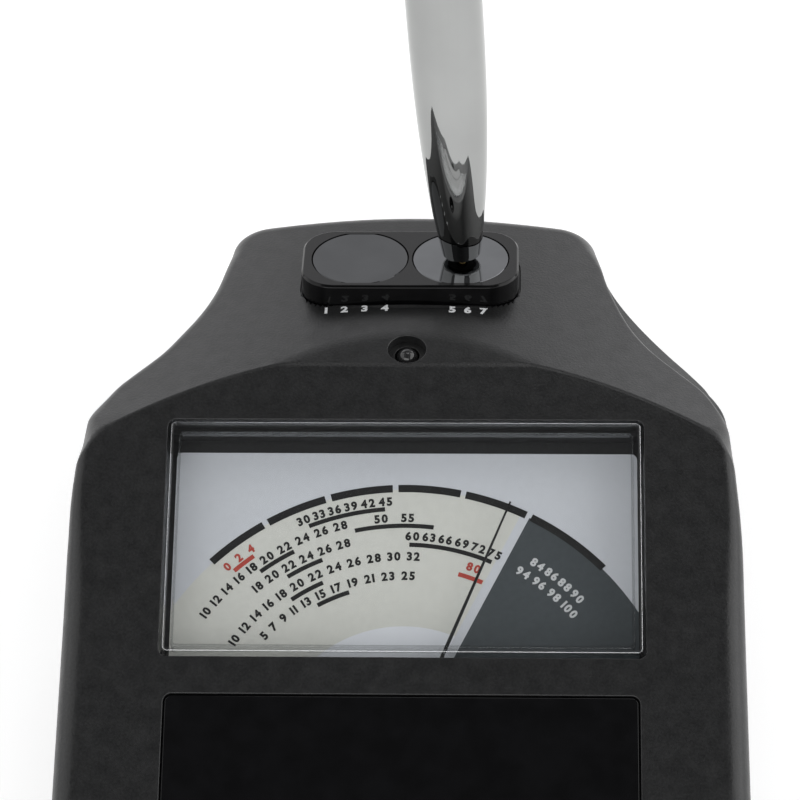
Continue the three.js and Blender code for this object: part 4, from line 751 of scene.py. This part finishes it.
DISC_LEFT = metal("disc_glass", (0.088, 0.09, 0.093), (0.015, 0.03), 200, 0.0000003)
DISC_RIGHT = metal("disc_reference", (0.15, 0.154, 0.16), (0.015, 0.03), 200, 0.0000003)
NEEDLE = plastic("needle_paint", (0.012, 0.012, 0.012), 0.2, (0.3, 0.42), 1500, 0.000002)
BOARD = plastic("board_mask", (0.013, 0.095, 0.036), 0.2, (0.22, 0.34), 700, 0.00001)
CELL = plastic("cell_sleeve", (0.05, 0.065, 0.09), 0.12, (0.24, 0.36), 260, 0.000002, Metallic=0.4)
CLEAR = see_through("cover_clear", (0.02, 0.05), 0.045)
# Painted highlight: mirrors about a third of the light when seen straight on, for the bright lines along the cover's
# edges
CLEAR_EDGE_PAINTED_HIGHLIGHT = see_through("cover_edge_painted_highlight", (0.05, 0.1), 0.32)
LENS = plastic("lamp_lens", (0.02, 0.02, 0.021), 0.3, (0.02, 0.04), 900, 0.000001, IOR=1.6)

# Looks of the CAD nodes that no piece replaces, by the start of their names
NODE_LOOKS = {
    SHELL: "battery_cover",
    INNER: "meter_case tact_switch processor_chip buzzer probe_carrier",
    PAPER: "dial_plate",
    STEEL: "meter_screw board_screw plate_screw contact_ yoke_ring magnet_core front_pivot rear_pivot probe_spring",
    BRASS: "movement_bridge front_jewel rear_jewel",
    COPPER: "hairspring coil_winding",
    ALUMINIUM: "coil_former",
    NEEDLE: "needle",
    BOARD: "main_board lamp_board probe_board",
    CELL: "battery_1 battery_2 battery_3",
}
for look, starts in NODE_LOOKS.items():
    for node in [node for name, node in frame["nodes"].items() if name.startswith(tuple(starts.split()))]:
        if not node.material_slots:
            node.data.materials.append(look.material)
        for spot in node.material_slots:
            spot.material = look.material


# Test plate and its discs
def test_plate():
    skin = Skin()
    rows = profile([(0, -PLATE_SINK), (0, PLATE_RISE - PLATE_CHAMFER, 0.2), (-PLATE_CHAMFER, PLATE_RISE, 0.2),
                    (-PLATE_CHAMFER - PLATE_FLAT, PLATE_RISE)])
    base, out = rounded(PLATE, 12)
    sweep(skin, HEAD, (base, out), rows, cap=False)
    # Top face round the two disc pockets
    inner = base - out * (PLATE_CHAMFER + PLATE_FLAT)
    pockets = [circle((side * DISC_U, DISC_V), 96) for side in (-1, 1)]
    reach, floor = DISC_RADIUS + DISC_GAP, PLATE_RISE - DISC_POCKET
    flat_with_holes(skin, HEAD, inner, [base + out * reach for base, out in pockets], PLATE_RISE, 1)
    for pocket in pockets:
        sweep(skin, HEAD, pocket, [(reach, PLATE_RISE, -1, 0), (reach, floor, -1, 0), (reach, floor, 0, 1)])
    skin.build("plate_raised", PLATE_LOOK, "plate_gloss", "test_plate")
    top = PLATE_RISE - DISC_INSET
    rows = profile([(DISC_RADIUS, top - DISC_THICKNESS), (DISC_RADIUS, top - 0.12, 0.06),
                    (DISC_RADIUS - 0.12, top, 0.06), (DISC_RADIUS - 0.4, top)])
    for pocket, name, look, node in zip(pockets, ("disc_left", "disc_right"), (DISC_LEFT, DISC_RIGHT),
                                        ("glass_disc", "reference_disc")):
        swept(HEAD, pocket, rows, name, look, node, node, foot=True)


# Pen: barrel with its bullet nose, end cap, gland, bush and tip
def pen_radius(z):
    share = np.minimum((z - PEN_NOSE_END) / PEN_NOSE_LENGTH, 1)
    return PEN_NOSE_RADIUS + (PEN_RADIUS - PEN_NOSE_RADIUS) * (1 - (1 - share) ** 3)


def pen():
    nose, seat = PEN_NOSE_END, PEN_NOSE_END + PEN_BARREL
    rows = [(1.9, nose + 2.0, -1, 0), (1.9, nose + 0.05, -1, 0), (1.95, nose, 0, -1)]
    rows += [(2.1 + 0.5 * o, nose + 0.45 * h, o, n) for _, h, o, n in quarter(0, 22, 45, 68)]
    for z in nose + np.r_[0.45, 0.8, 1.3, np.linspace(2, PEN_NOSE_LENGTH, 34), PEN_BARREL - 0.3]:
        slope = (pen_radius(z + 0.05) - pen_radius(z - 0.05)) / 0.1 if z > nose + 0.5 else 0.1
        size = math.hypot(1, slope)
        rows.append((pen_radius(z), z, 1 / size, -slope / size))
    rows += [(PEN_RADIUS - 0.1, seat - 0.06, 0.7, 0.7), (PEN_RADIUS - 0.3, seat, 0, 1), (PEN_RADIUS - 1.2, seat, 0, 1)]
    swept(PEN, circle(steps=128), rows, "pen_barrel", CHROME, "pen_chrome", "probe_barrel", body="probe", cap=False)
    seat += 0.1
    top = seat + CAP_LENGTH
    neck = PEN_RADIUS - 0.25
    rows = profile([(PEN_RADIUS - 1.2, seat - 0.05), (neck, seat - 0.05), (neck, seat + 0.3, 0.05),
                    (PEN_RADIUS, seat + 0.4, 0.1), (PEN_RADIUS, seat + CAP_LENGTH / 2, 2.5), (CAP_END, top - 0.1, 0.5),
                    (CORD_HOLE, top, 0.2), (CORD_HOLE, top - 4)], 8)
    swept(PEN, circle(steps=96), rows, "pen_end_cap", INNER, "inner_plastic", "probe_end_cap", body="probe")
    low = top + 0.1
    pitch = GLAND_LENGTH / (2 * GLAND_GROOVES + 1)
    corners = [(CORD_HOLE + 0.3, low - 0.1), (GLAND_RADII[0], low, 0.3)]
    for i in range(2 * GLAND_GROOVES + 1):
        for z in (i * pitch, (i + 1) * pitch):
            taper = (GLAND_RADII[1] - GLAND_RADII[0]) * z / GLAND_LENGTH
            if z > 0:
                corners.append((GLAND_RADII[0] + taper - (GLAND_GROOVE if i % 2 else 0), low + z, 0.3))
    corners += [(CORD_HOLE, low + GLAND_LENGTH, 0.2), (CORD_HOLE, low + GLAND_LENGTH - 6)]
    swept(PEN, circle(steps=72), profile(corners, 4), "pen_gland", RUBBER, "rubber", "probe_gland", body="probe")
    rows = [(TIP_RADIUS + 0.2, nose + 1.2, -1, 0), (TIP_RADIUS + 0.2, nose + 0.1, -0.7, -0.7),
            (TIP_RADIUS + 0.35, nose, 0, -1), (1.8, nose, 0, -1), (1.9, nose + 0.1, 0.7, -0.7), (1.9, nose + 1.9, 1, 0)]
    swept(PEN, circle(steps=72), rows, "pen_bush", INNER, "inner_plastic", "probe_bush", body="probe", cap=False)
    rows = [(TIP_RADIUS, TIP_END + 4, 1, 0)]
    rows += [(TIP_RADIUS / 2 * (1 - n), TIP_END + TIP_RADIUS / 2 * i, -n, -o)
             for i, _, o, n in quarter(0, 22, 45, 68, 90)]
    rows.append((0.02, TIP_END, 0, -1))
    swept(PEN, circle(steps=36), rows, "pen_tip", BRASS, "brass", "probe_tip", body="probe_tip", cap=False)


# Underside: back shell with the battery bay, feet, screws, and the socket in the end wall
def hollow(skin, loop, low, high, taper=1.0):
    """Flat walls up from a loop of plan points, which may narrow towards its middle, and a flat end."""
    middle = loop.mean(0)
    end = middle + (loop - middle) * taper
    for a, b, c, d in zip(loop, np.roll(loop, -1, 0), np.roll(end, -1, 0), end):
        way = np.array([b[1] - a[1], a[0] - b[0]]) / np.linalg.norm(b - a)
        if way @ ((a + b) / 2 - middle) > 0:
            way = -way
        skin.patch([(*a, low), (*b, low), (*c, high), (*d, high)], (*way, 0))
    skin.patch(lifted(end, high), (0, 0, -1))


def back_shell():
    base, out = OUTLINE
    # Columns at the slot's sides, so that its corners are square
    spots = []
    for i in range(len(base)):
        a, b = base[i], base[(i + 1) % len(base)]
        spots.append((a, out[i]))
        for side in (-SLOT_HALF, SLOT_HALF):
            if a[1] < -100 and (a[0] - side) * (b[0] - side) < 0:
                share = (side - a[0]) / (b[0] - a[0])
                spots += [(a + (b - a) * share, out[i])] * 2
    base, out = (np.array(part) for part in zip(*spots))
    ahead = np.roll(base, -1, 0)
    behind = np.roll(base, 1, 0)
    low_end = base[:, 1] < -100
    edge = np.abs(np.abs(base[:, 0]) - SLOT_HALF) < 1e-9
    same = np.linalg.norm(ahead - base, axis=1) < 1e-9
    beside = np.where(same, behind[:, 0], ahead[:, 0])
    slot = low_end & (np.abs(np.where(edge, beside, base[:, 0])) < SLOT_HALF - 1e-9)
    skin = Skin()
    rows, normals = [], []
    top = SEAM - SEAM_GAP / 2
    steps = quarter(*np.linspace(0, 90, 10))
    lines = [(LOWER_EDGE * i, FOOT + LOWER_EDGE * h, o, n) for i, h, o, n in steps]
    lines += [(0, top - 0.25, 1, 0), (0.08, top - 0.08, 0.7, 0.7), (0.25, top, 0, 1), (LIP_INSET, top, 0, 1),
              (LIP_INSET, top, 1, 0), (LIP_INSET, top + LIP_RISE, 1, 0)]
    cut_inset = LOWER_EDGE * (1 - math.sqrt(1 - (1 - (SLOT_TOP - FOOT) / LOWER_EDGE) ** 2))
    for inset, z, o, n in lines:
        low = slot & (z < SLOT_TOP)
        level = np.where(low, SLOT_TOP, z)
        away = np.where(low, cut_inset, inset)
        plan = base + out * (spread(level) - away)[:, None]
        plan[low_end & edge, 0] = base[low_end & edge, 0]
        rows.append(lifted(plan, level))
        way = lifted(out * o, n)
        way[low] = lifted(out, 0)[low]
        normals.append(way)
    skin.grid(np.array(rows), np.array(normals), keep=lambda r, c: not same[c])
    # Floor with pockets, and the slot with the bay above it
    ring = rows[0][:, :2]
    corners = np.array([(SLOT_HALF, SLOT_FAR), (-SLOT_HALF, SLOT_FAR)])
    solid = ring[~slot]
    ends = [i for i in range(len(solid)) if abs(abs(solid[i, 0]) - SLOT_HALF) < 0.01 and solid[i, 1] < -100]
    first, last = ends[0], ends[-1]
    floor_loop = np.concatenate([solid[last:], solid[:first + 1], corners if solid[first, 0] > 0 else corners[::-1]])
    holes = []
    for centre, (radius, level) in [(c, SCREW_POCKET) for c in SCREWS] + [(c, FOOT_POCKET) for c in FEET]:
        loop = circle(centre, 48)
        holes.append(loop[0] + loop[1] * (radius + POCKET_EDGE))
        sweep(skin, LEVEL, loop, [(radius + POCKET_EDGE, FOOT, -0.38, -0.92),
                                  (radius, FOOT + POCKET_EDGE, -0.92, -0.38), (radius, level, -1, 0)], cap=False)
        skin.patch(LEVEL.on(loop[0] + loop[1] * radius, level), (0, 0, -1))
    flat_with_holes(skin, LEVEL, floor_loop, holes, FOOT, -1)
    ceiling = rows[0][slot][:, :2]
    ceiling = ceiling[np.argsort(ceiling[:, 0])]
    bay = np.array([(-BAY_HALF, BAY_NEAR), (BAY_HALF, BAY_NEAR), (BAY_HALF, BAY_FAR), (-BAY_HALF, BAY_FAR)])
    flat_with_holes(skin, LEVEL, np.concatenate([ceiling, corners]), [bay], SLOT_TOP, -1)
    hollow(skin, bay, SLOT_TOP, BAY_TOP)
    skin.patch([(-SLOT_HALF, SLOT_FAR, FOOT), (SLOT_HALF, SLOT_FAR, FOOT), (SLOT_HALF, SLOT_FAR, SLOT_TOP),
                (-SLOT_HALF, SLOT_FAR, SLOT_TOP)], (0, -1, 0))
    for side in (-1, 1):
        wall = side * SLOT_HALF
        column = [i for i in range(len(base)) if edge[i] and low_end[i] and not slot[i] and base[i, 0] * side > 0][0]
        line = [(wall, *rows[r][column, 1:]) for r in range(len(steps)) if rows[r][column, 2] < SLOT_TOP]
        line += [(wall, line[-1][1], SLOT_TOP), (wall, SLOT_FAR, SLOT_TOP)]
        skin.patch([(wall, SLOT_FAR, FOOT), *line], (-side, 0, 0))
    skin.build("housing_back", SHELL, "shell_plastic", "back_shell")


def screw(number, centre):
    skin = Skin()
    loop, low, flat = circle(centre, 40), SCREW_SEAT, SCREW_HEAD - 0.35
    rows = [(flat, low, 0, -1), (SCREW_HEAD - 0.1, low + 0.1, 0.7, -0.7), (SCREW_HEAD, low + 0.4, 1, 0),
            (SCREW_HEAD, low + 1.5, 1, 0)]
    sweep(skin, LEVEL, loop, rows)
    # Cross slot, turned by another angle on each screw
    a, h = CROSS_ARM, CROSS_HALF
    cross = np.array([(h, h), (a, h), (a, -h), (h, -h), (h, -a), (-h, -a),
                      (-h, -h), (-a, -h), (-a, h), (-h, h), (-h, a), (h, a)])
    turn = np.array([[math.cos(number), math.sin(number)], [-math.sin(number), math.cos(number)]])
    cross = cross @ turn + centre
    flat_with_holes(skin, LEVEL, loop[0] + loop[1] * flat, [cross], low, -1)
    hollow(skin, cross, low, low + CROSS_DEPTH, CROSS_TAPER)
    skin.build(f"housing_screw_{number}", STEEL, "steel", f"case_screw_{number}")


def underside():
    rows = [(FOOT_RADIUS - 0.6, 0, 0, -1)]
    rows += [(FOOT_RADIUS - FOOT_EDGE * i, FOOT_EDGE * h, o, n) for i, h, o, n in quarter(0, 30, 60, 90)]
    rows += [(FOOT_RADIUS, FOOT_TOP, 1, 0)]
    for number, centre in enumerate(FEET, 1):
        swept(LEVEL, circle(centre, 48), rows, f"rubber_foot_{number}", RUBBER, "rubber", f"foot_{number}", foot=True)
    for number, centre in enumerate(SCREWS, 1):
        screw(number, centre)
    # Socket for the probe's plug in the end wall
    place = Place((0, CORNERS[0][1], SOCKET_HEIGHT), -math.pi / 2)
    rows = profile([(SOCKET_RADIUS, -2.5), (SOCKET_RADIUS, 0.45, 0.3), (SOCKET_BORE + 0.5, 0.5, 0.2),
                    (SOCKET_BORE, 0.1, 0.2), (SOCKET_BORE, -8.0)])
    swept(place, circle(), rows, "socket_ring", INNER, "inner_plastic", "probe_socket")


# Meter: the dial's printing, dark frame round the dial, and clear cover
def band(skin, level, inner, outer, from_angle, to_angle):
    """Part of a flat ring round the needle's pivot. Angles run from up to the right, in degrees."""
    a = np.radians(np.linspace(from_angle, to_angle, max(3, int(abs(to_angle - from_angle) / 1.2) + 2)))
    rows = [FACE.at(r * np.sin(a), PIVOT + r * np.cos(a), level) for r in (inner, outer)]
    skin.grid(np.array(rows), FACE.along(0, 0, 1), closed=False)


def clip(polygon, at, way):
    """The part of a flat polygon on the side of a line that way points away from."""
    kept = []
    for p, q in zip(polygon, np.roll(polygon, -1, 0)):
        a, b = (p - at) @ way, (q - at) @ way
        if a <= 0:
            kept.append(p)
        if a * b < 0:
            kept.append(p + (q - p) * a / (a - b))
    return np.array(kept)


def sector(name, look, level, radius, lines):
    angles = np.radians(np.linspace(0, 360, 181)[:-1])
    polygon = np.column_stack([radius * np.sin(angles), PIVOT + radius * np.cos(angles)])
    edges = [((-DIAL_HALF, 0), (-1, 0)), ((DIAL_HALF, 0), (1, 0)), ((0, DIAL_LOW), (0, -1))]
    for at, way in edges + lines:
        polygon = clip(polygon, np.array(at, float), np.array(way, float))
    skin = Skin()
    skin.patch(FACE.on(polygon, level), FACE.along(0, 0, 1))
    skin.build(name, look, "dial")


def glyph(sign):
    """A figure as flat faces, from the built-in typeface."""
    curve = bpy.data.curves.new("figure", "FONT")
    curve.body, curve.resolution_u, curve.offset = sign, 3, 0.048
    obj = bpy.data.objects.new("figure", curve)
    mesh = obj.to_mesh()
    points = np.array([v.co[:2] for v in mesh.vertices]).reshape(-1, 2)
    faces = [list(p.vertices) for p in mesh.polygons]
    obj.to_mesh_clear()
    bpy.data.objects.remove(obj)
    bpy.data.curves.remove(curve)
    return points, faces


GLYPHS = {sign: glyph(sign) for sign in "0123456789"}
ZERO_HEIGHT = GLYPHS["0"][0][:, 1].max()


def figures(skin, place, level, numbers, height, start, end, centre, radius=0):
    """Numbers round an arc from one length along it to another, or straight along where the radius is zero."""
    words, loose, blank = " ".join(map(str, numbers)), 0.2, 0.5
    widths = [blank if s == " " else np.ptp(GLYPHS[s][0][:, 0] / ZERO_HEIGHT) + loose for s in words]
    spare = (end - start) / height - sum(widths) + loose
    gaps = max(1, words.count(" "))
    at = start / height + (0 if " " in words else spare / 2)
    for sign, width in zip(words, widths):
        if sign == " ":
            at += width + spare / gaps
            continue
        points, faces = GLYPHS[sign]
        points = points / ZERO_HEIGHT
        x = (points[:, 0] - points[:, 0].min() + at) * height
        y = (points[:, 1] - 0.5) * height
        if radius:
            x, y = (radius + y) * np.sin(x / radius), (radius + y) * np.cos(x / radius)
        u, v = centre[0] + x, centre[1] + y
        skin.add(place.at(u, v, level - arch_drop(place, u)), place.along(0, 0, 1), faces)
        at += width


def dial():
    level = DIAL_LEVEL + PRINT
    angle = math.radians(SPLIT_ANGLE)
    across = np.array([math.cos(angle), -math.sin(angle)])
    at = np.array([0, PIVOT])
    sector("dial_beige", BEIGE, level, SECTOR_RADIUS, [(at - across * SPLIT_GAP, across)])
    sector("dial_slate", SLATE, level, SECTOR_RADIUS, [(at, -across)])
    # The inner half-disc is the same paper, painted lighter for the light that falls on the dial's lower part
    sector("dial_inner", PAPER_PAINTED_LIT, level + PRINT, INNER_RADIUS, [(at - across * SPLIT_GAP, across)])
    level += 2 * PRINT
    for name, look, rows, bars, parts in (("dial_black", INK, ROWS, BARS, SCALE_PARTS),
                                          ("dial_red", INK_RED, RED_ROWS, RED_BARS, ()),
                                          ("dial_white", INK_WHITE, WHITE_ROWS, (), ())):
        skin = Skin()
        for radius, start, end, numbers in rows:
            figures(skin, FACE, level, numbers, FIGURE_HEIGHT, math.radians(start) * radius, math.radians(end) * radius,
                    at, radius)
        for radius, start, end in bars:
            band(skin, level, radius - BAR_HALF, radius + BAR_HALF, start, end)
        for start, end in parts:
            band(skin, level, *SCALE_RADII, start, end)
        skin.build(name, look, "dial")
    rows = profile([(0, DIAL_LEVEL + 0.01), (0, MASK_LEVEL), (MASK_WIDTH, MASK_LEVEL)])
    rows = [(r, h, -o if o else o, abs(n)) for r, h, o, n in rows]
    loop = rounded((-DIAL_HALF, DIAL_HALF, DIAL_LOW - 1, DIAL_TOP, 0.8), 6)
    swept(FACE, loop, rows, "dial_frame", INNER, "inner_plastic", cap=False)


def meter_cover():
    skin = Skin()
    flange = -WALL - 0.3
    outer = [(1.2, flange - 0.9), (1.2, flange), (0, flange, 0.2), (0, COVER_RISE, 0.2), (-0.6, COVER_RISE)]
    sweep(skin, FACE, rounded(COVER), profile(outer))
    # The inside has its own corners, because its skirt is thicker than the cover's corner radius
    inside = rounded((*grown(COVER, -COVER_SKIRT)[:4], COVER[4]))
    ceiling = COVER_RISE - COVER_THICKNESS
    rows = [(r, h, -o, -n) for r, h, o, n in profile([(0.1, SKIRT_BOTTOM), (0, ceiling, 0.25), (-0.6, ceiling)])]
    sweep(skin, FACE, inside, rows, cap=False)
    skin.patch(FACE.on(inside[0] + inside[1] * rows[-1][0], ceiling), FACE.along(0, 0, -1))
    skin.build("meter_window", CLEAR, "clear_cover", "meter_cover")
    # Painted highlight: a thin sheet on the cover's edges mirrors far more than clear plastic, standing in for the
    # light that the moulded edges collect
    rim = Skin()
    top = COVER_RISE + RIM_PROUD
    rows = profile([(RIM_PROUD, top - RIM_WIDTH), (RIM_PROUD, top, 0.25), (-RIM_WIDTH, top)])
    sweep(rim, FACE, rounded(COVER), rows, cap=False)
    sweep(rim, FACE, inside, profile([(-RIM_PROUD, ceiling - RIM_WIDTH), (-RIM_WIDTH, ceiling - RIM_PROUD)]), cap=False)
    rim.build("window_rim_painted_highlight", CLEAR_EDGE_PAINTED_HIGHLIGHT, "clear_cover")


def label_panel():
    top = -LABEL_INSET
    rows = profile([(0, top - LABEL_THICKNESS), (0, top - 0.22, 0.12), (-0.22, top, 0.12), (-0.8, top)])
    swept(FACE, rounded(LABEL), rows, "panel_gloss", GLOSS, "label_gloss", "label_panel")


def dome(skin, place, centre, radius, low, top, steps):
    """Rows of an elliptical dome from its rim to near its middle, with a cap."""
    rows = []
    for a in np.radians(np.linspace(0, 86, steps)):
        out, up = (top - low) * math.cos(a), radius * math.sin(a)
        size = math.hypot(out, up)
        rows.append((radius * math.cos(a), low + (top - low) * math.sin(a), out / size, up / size))
    sweep(skin, place, circle(centre, 48), rows)


def lamp_and_button():
    skin = Skin()
    at, low = (0, LAMP_V), -LAMP_RECESS - LAMP_RADIUS
    sweep(skin, FACET, circle(at, 48), [(LAMP_RADIUS, -3.4, 1, 0), (LAMP_RADIUS, low, 1, 0)], cap=False)
    dome(skin, FACET, at, LAMP_RADIUS, low, -LAMP_RECESS, 12)
    skin.build("lamp_lens", LENS, "lamp_lens", "ready_lamp")
    rows = profile([(LAMP_HOLE - 0.02, -2.6), (LAMP_HOLE - 0.02, -1.3), (LAMP_RADIUS + 0.15, -1.28, 0.1),
                    (LAMP_RADIUS + 0.05, -3)])
    swept(FACET, circle(at), rows, "lamp_sleeve", SHELL, "shell_plastic", cap=False)
    skin = Skin()
    at = (0, BUTTON_V)
    rows = profile([(BUTTON_RADIUS + 1.2, -3.3), (BUTTON_RADIUS + 1.2, -2.5), (BUTTON_RADIUS, -2.5),
                    (BUTTON_RADIUS, 0.25, 0.35), (BUTTON_RADIUS - 0.6, 0.42, 0.3), (BUTTON_RADIUS - 0.9, 0.36, 0.2)])
    sweep(skin, FACE, circle(at, 96), rows, cap=False)
    dome(skin, FACE, at, BUTTON_RADIUS - 0.9, 0.3, 0.6, 14)
    skin.build("button_cap", RUBBER, "rubber", "power_button", body="power_button")


def head_numbers():
    """Numbers on the head below the discs."""
    skin = Skin()
    for numbers, left, right, v in HEAD_ROWS:
        figures(skin, HEAD, PRINT, numbers, HEAD_FIGURE_HEIGHT, left, right, (0, v))
    skin.build("head_numbers", INK_WHITE, "dial")


front_shell()
test_plate()
pen()
back_shell()
underside()
dial()
meter_cover()
label_panel()
lamp_and_button()
head_numbers()

# Camera at the photograph's place
camera_data = bpy.data.cameras.new("camera")
camera_data.sensor_width = 36
camera_data.lens = 148.5
camera_data.clip_start = 0.01
camera = add_object("camera", camera_data)
axes = [(0.99936, 0.02324, -0.02702), (-0.00328, 0.81485, 0.57967), (0.03549, -0.57922, 0.81440)]
turn = Matrix(axes).transposed().to_4x4()
camera.matrix_world = Matrix.Translation((0.0147, -0.23313, 0.39893)) @ turn
bpy.context.scene.camera = camera


# Floor: white to the camera, with the object's shadow kept
def floor():
    mesh = bpy.data.meshes.new("floor")
    mesh.from_pydata([(-4, -4, 0), (4, -4, 0), (4, 4, 0), (-4, 4, 0)], [], [(0, 1, 2, 3)])
    look = Look("floor_white")
    look.colour(look.noise(3), (0.78, 0.78, 0.775), (0.8, 0.8, 0.8)).rough(look.noise(5), 0.8, 0.9)
    light = look.node("ShaderNodeEmission", Color=(1, 1, 1, 1))
    path = look.node("ShaderNodeLightPath")
    both = look.node("ShaderNodeAddShader")
    seen = path.outputs["Is Camera Ray"]
    for ray in ("Is Glossy Ray", "Is Transmission Ray"):
        either = look.node("ShaderNodeMath", operation="MAXIMUM")
        look.link(seen, either.inputs[0]).link(path.outputs[ray], either.inputs[1])
        seen = either.outputs["Value"]
    scale = look.node("ShaderNodeMath", 0.5, operation="MULTIPLY")
    look.link(seen, scale.inputs[0]).link(scale.outputs["Value"], light.inputs["Strength"])
    look.link(look.shader.outputs["BSDF"], both.inputs[0]).link(light.outputs["Emission"], both.inputs[1])
    look.link(both.outputs["Shader"], look.tree.nodes["Material Output"].inputs["Surface"])
    mesh.materials.append(look.material)
    add_object("floor", mesh)


floor()


def area_light(name, place, size, power):
    data = bpy.data.lights.new(name, "AREA")
    data.shape = "RECTANGLE"
    data.size, data.size_y = size
    data.energy = power
    way = Vector((0, 0, 0.04)) - Vector(place)
    add_object(name, data).matrix_world = Matrix.Translation(place) @ way.to_track_quat("-Z", "Y").to_matrix().to_4x4()


area_light("light_left", (-1.1, 0.15, 0.75), (1.7, 1.3), 6)
area_light("light_right", (1.1, 0.1, 0.7), (1.7, 1.3), 11)
area_light("light_front", (-0.25, -1.05, 1.15), (1.5, 1.0), 9.5)
area_light("light_far", (0.12, 0.68, 1.2), (0.5, 0.4), 1.2)


# Strength of the studio's light by the direction's height and by its side
SKY_STOPS = ((0.0, 0.7), (0.1, 0.95), (0.22, 1.1), (0.34, 1.02), (0.46, 0.42), (0.6, 0.16), (0.8, 0.1), (1.0, 0.085))
SIDE_STRENGTH = ((0.0, 0.5), (0.125, 0.6), (0.29, 1.45), (0.45, 0.9), (0.55, 0.9), (0.71, 1.75), (0.875, 0.8),
                 (1.0, 0.7))


def sky():
    world = bpy.data.worlds.new("studio")
    bpy.context.scene.world = world
    world.use_nodes = True
    sky_tree = Tree(world.node_tree)
    split = sky_tree.node("ShaderNodeSeparateXYZ")
    sky_tree.link(sky_tree.node("ShaderNodeTexCoord").outputs["Generated"], split.inputs["Vector"])
    ramp = sky_tree.node("ShaderNodeValToRGB")
    elements = ramp.color_ramp.elements
    while len(elements) < len(SKY_STOPS):
        elements.new(0.5)
    for element, (position, tone) in zip(elements, SKY_STOPS):
        element.position, element.color = position, (tone, tone, tone * 1.02, 1)
    sky_tree.link(split.outputs["Z"], ramp.inputs["Fac"])
    # The sides of the studio are brighter than its far end
    aside = sky_tree.node("ShaderNodeMapRange", From_Min=-1)
    span = sky_tree.node("ShaderNodeFloatCurve")
    points = span.mapping.curves[0].points
    while len(points) < len(SIDE_STRENGTH):
        points.new(0.5, 0.5)
    for point, (position, value) in zip(points, SIDE_STRENGTH):
        point.location = (position, value / 2)
        point.handle_type = "VECTOR"
    span.mapping.update()
    double = sky_tree.node("ShaderNodeMath", 2, operation="MULTIPLY")
    sky_tree.link(split.outputs["X"], aside.inputs["Value"]).link(aside.outputs["Result"], span.inputs["Value"])
    sky_tree.link(span.outputs["Value"], double.inputs[0])
    background = world.node_tree.nodes["Background"]
    sky_tree.link(ramp.outputs["Color"], background.inputs["Color"])
    sky_tree.link(double.outputs["Value"], background.inputs["Strength"])


sky()
bpy.context.scene.view_settings.view_transform = "Standard"
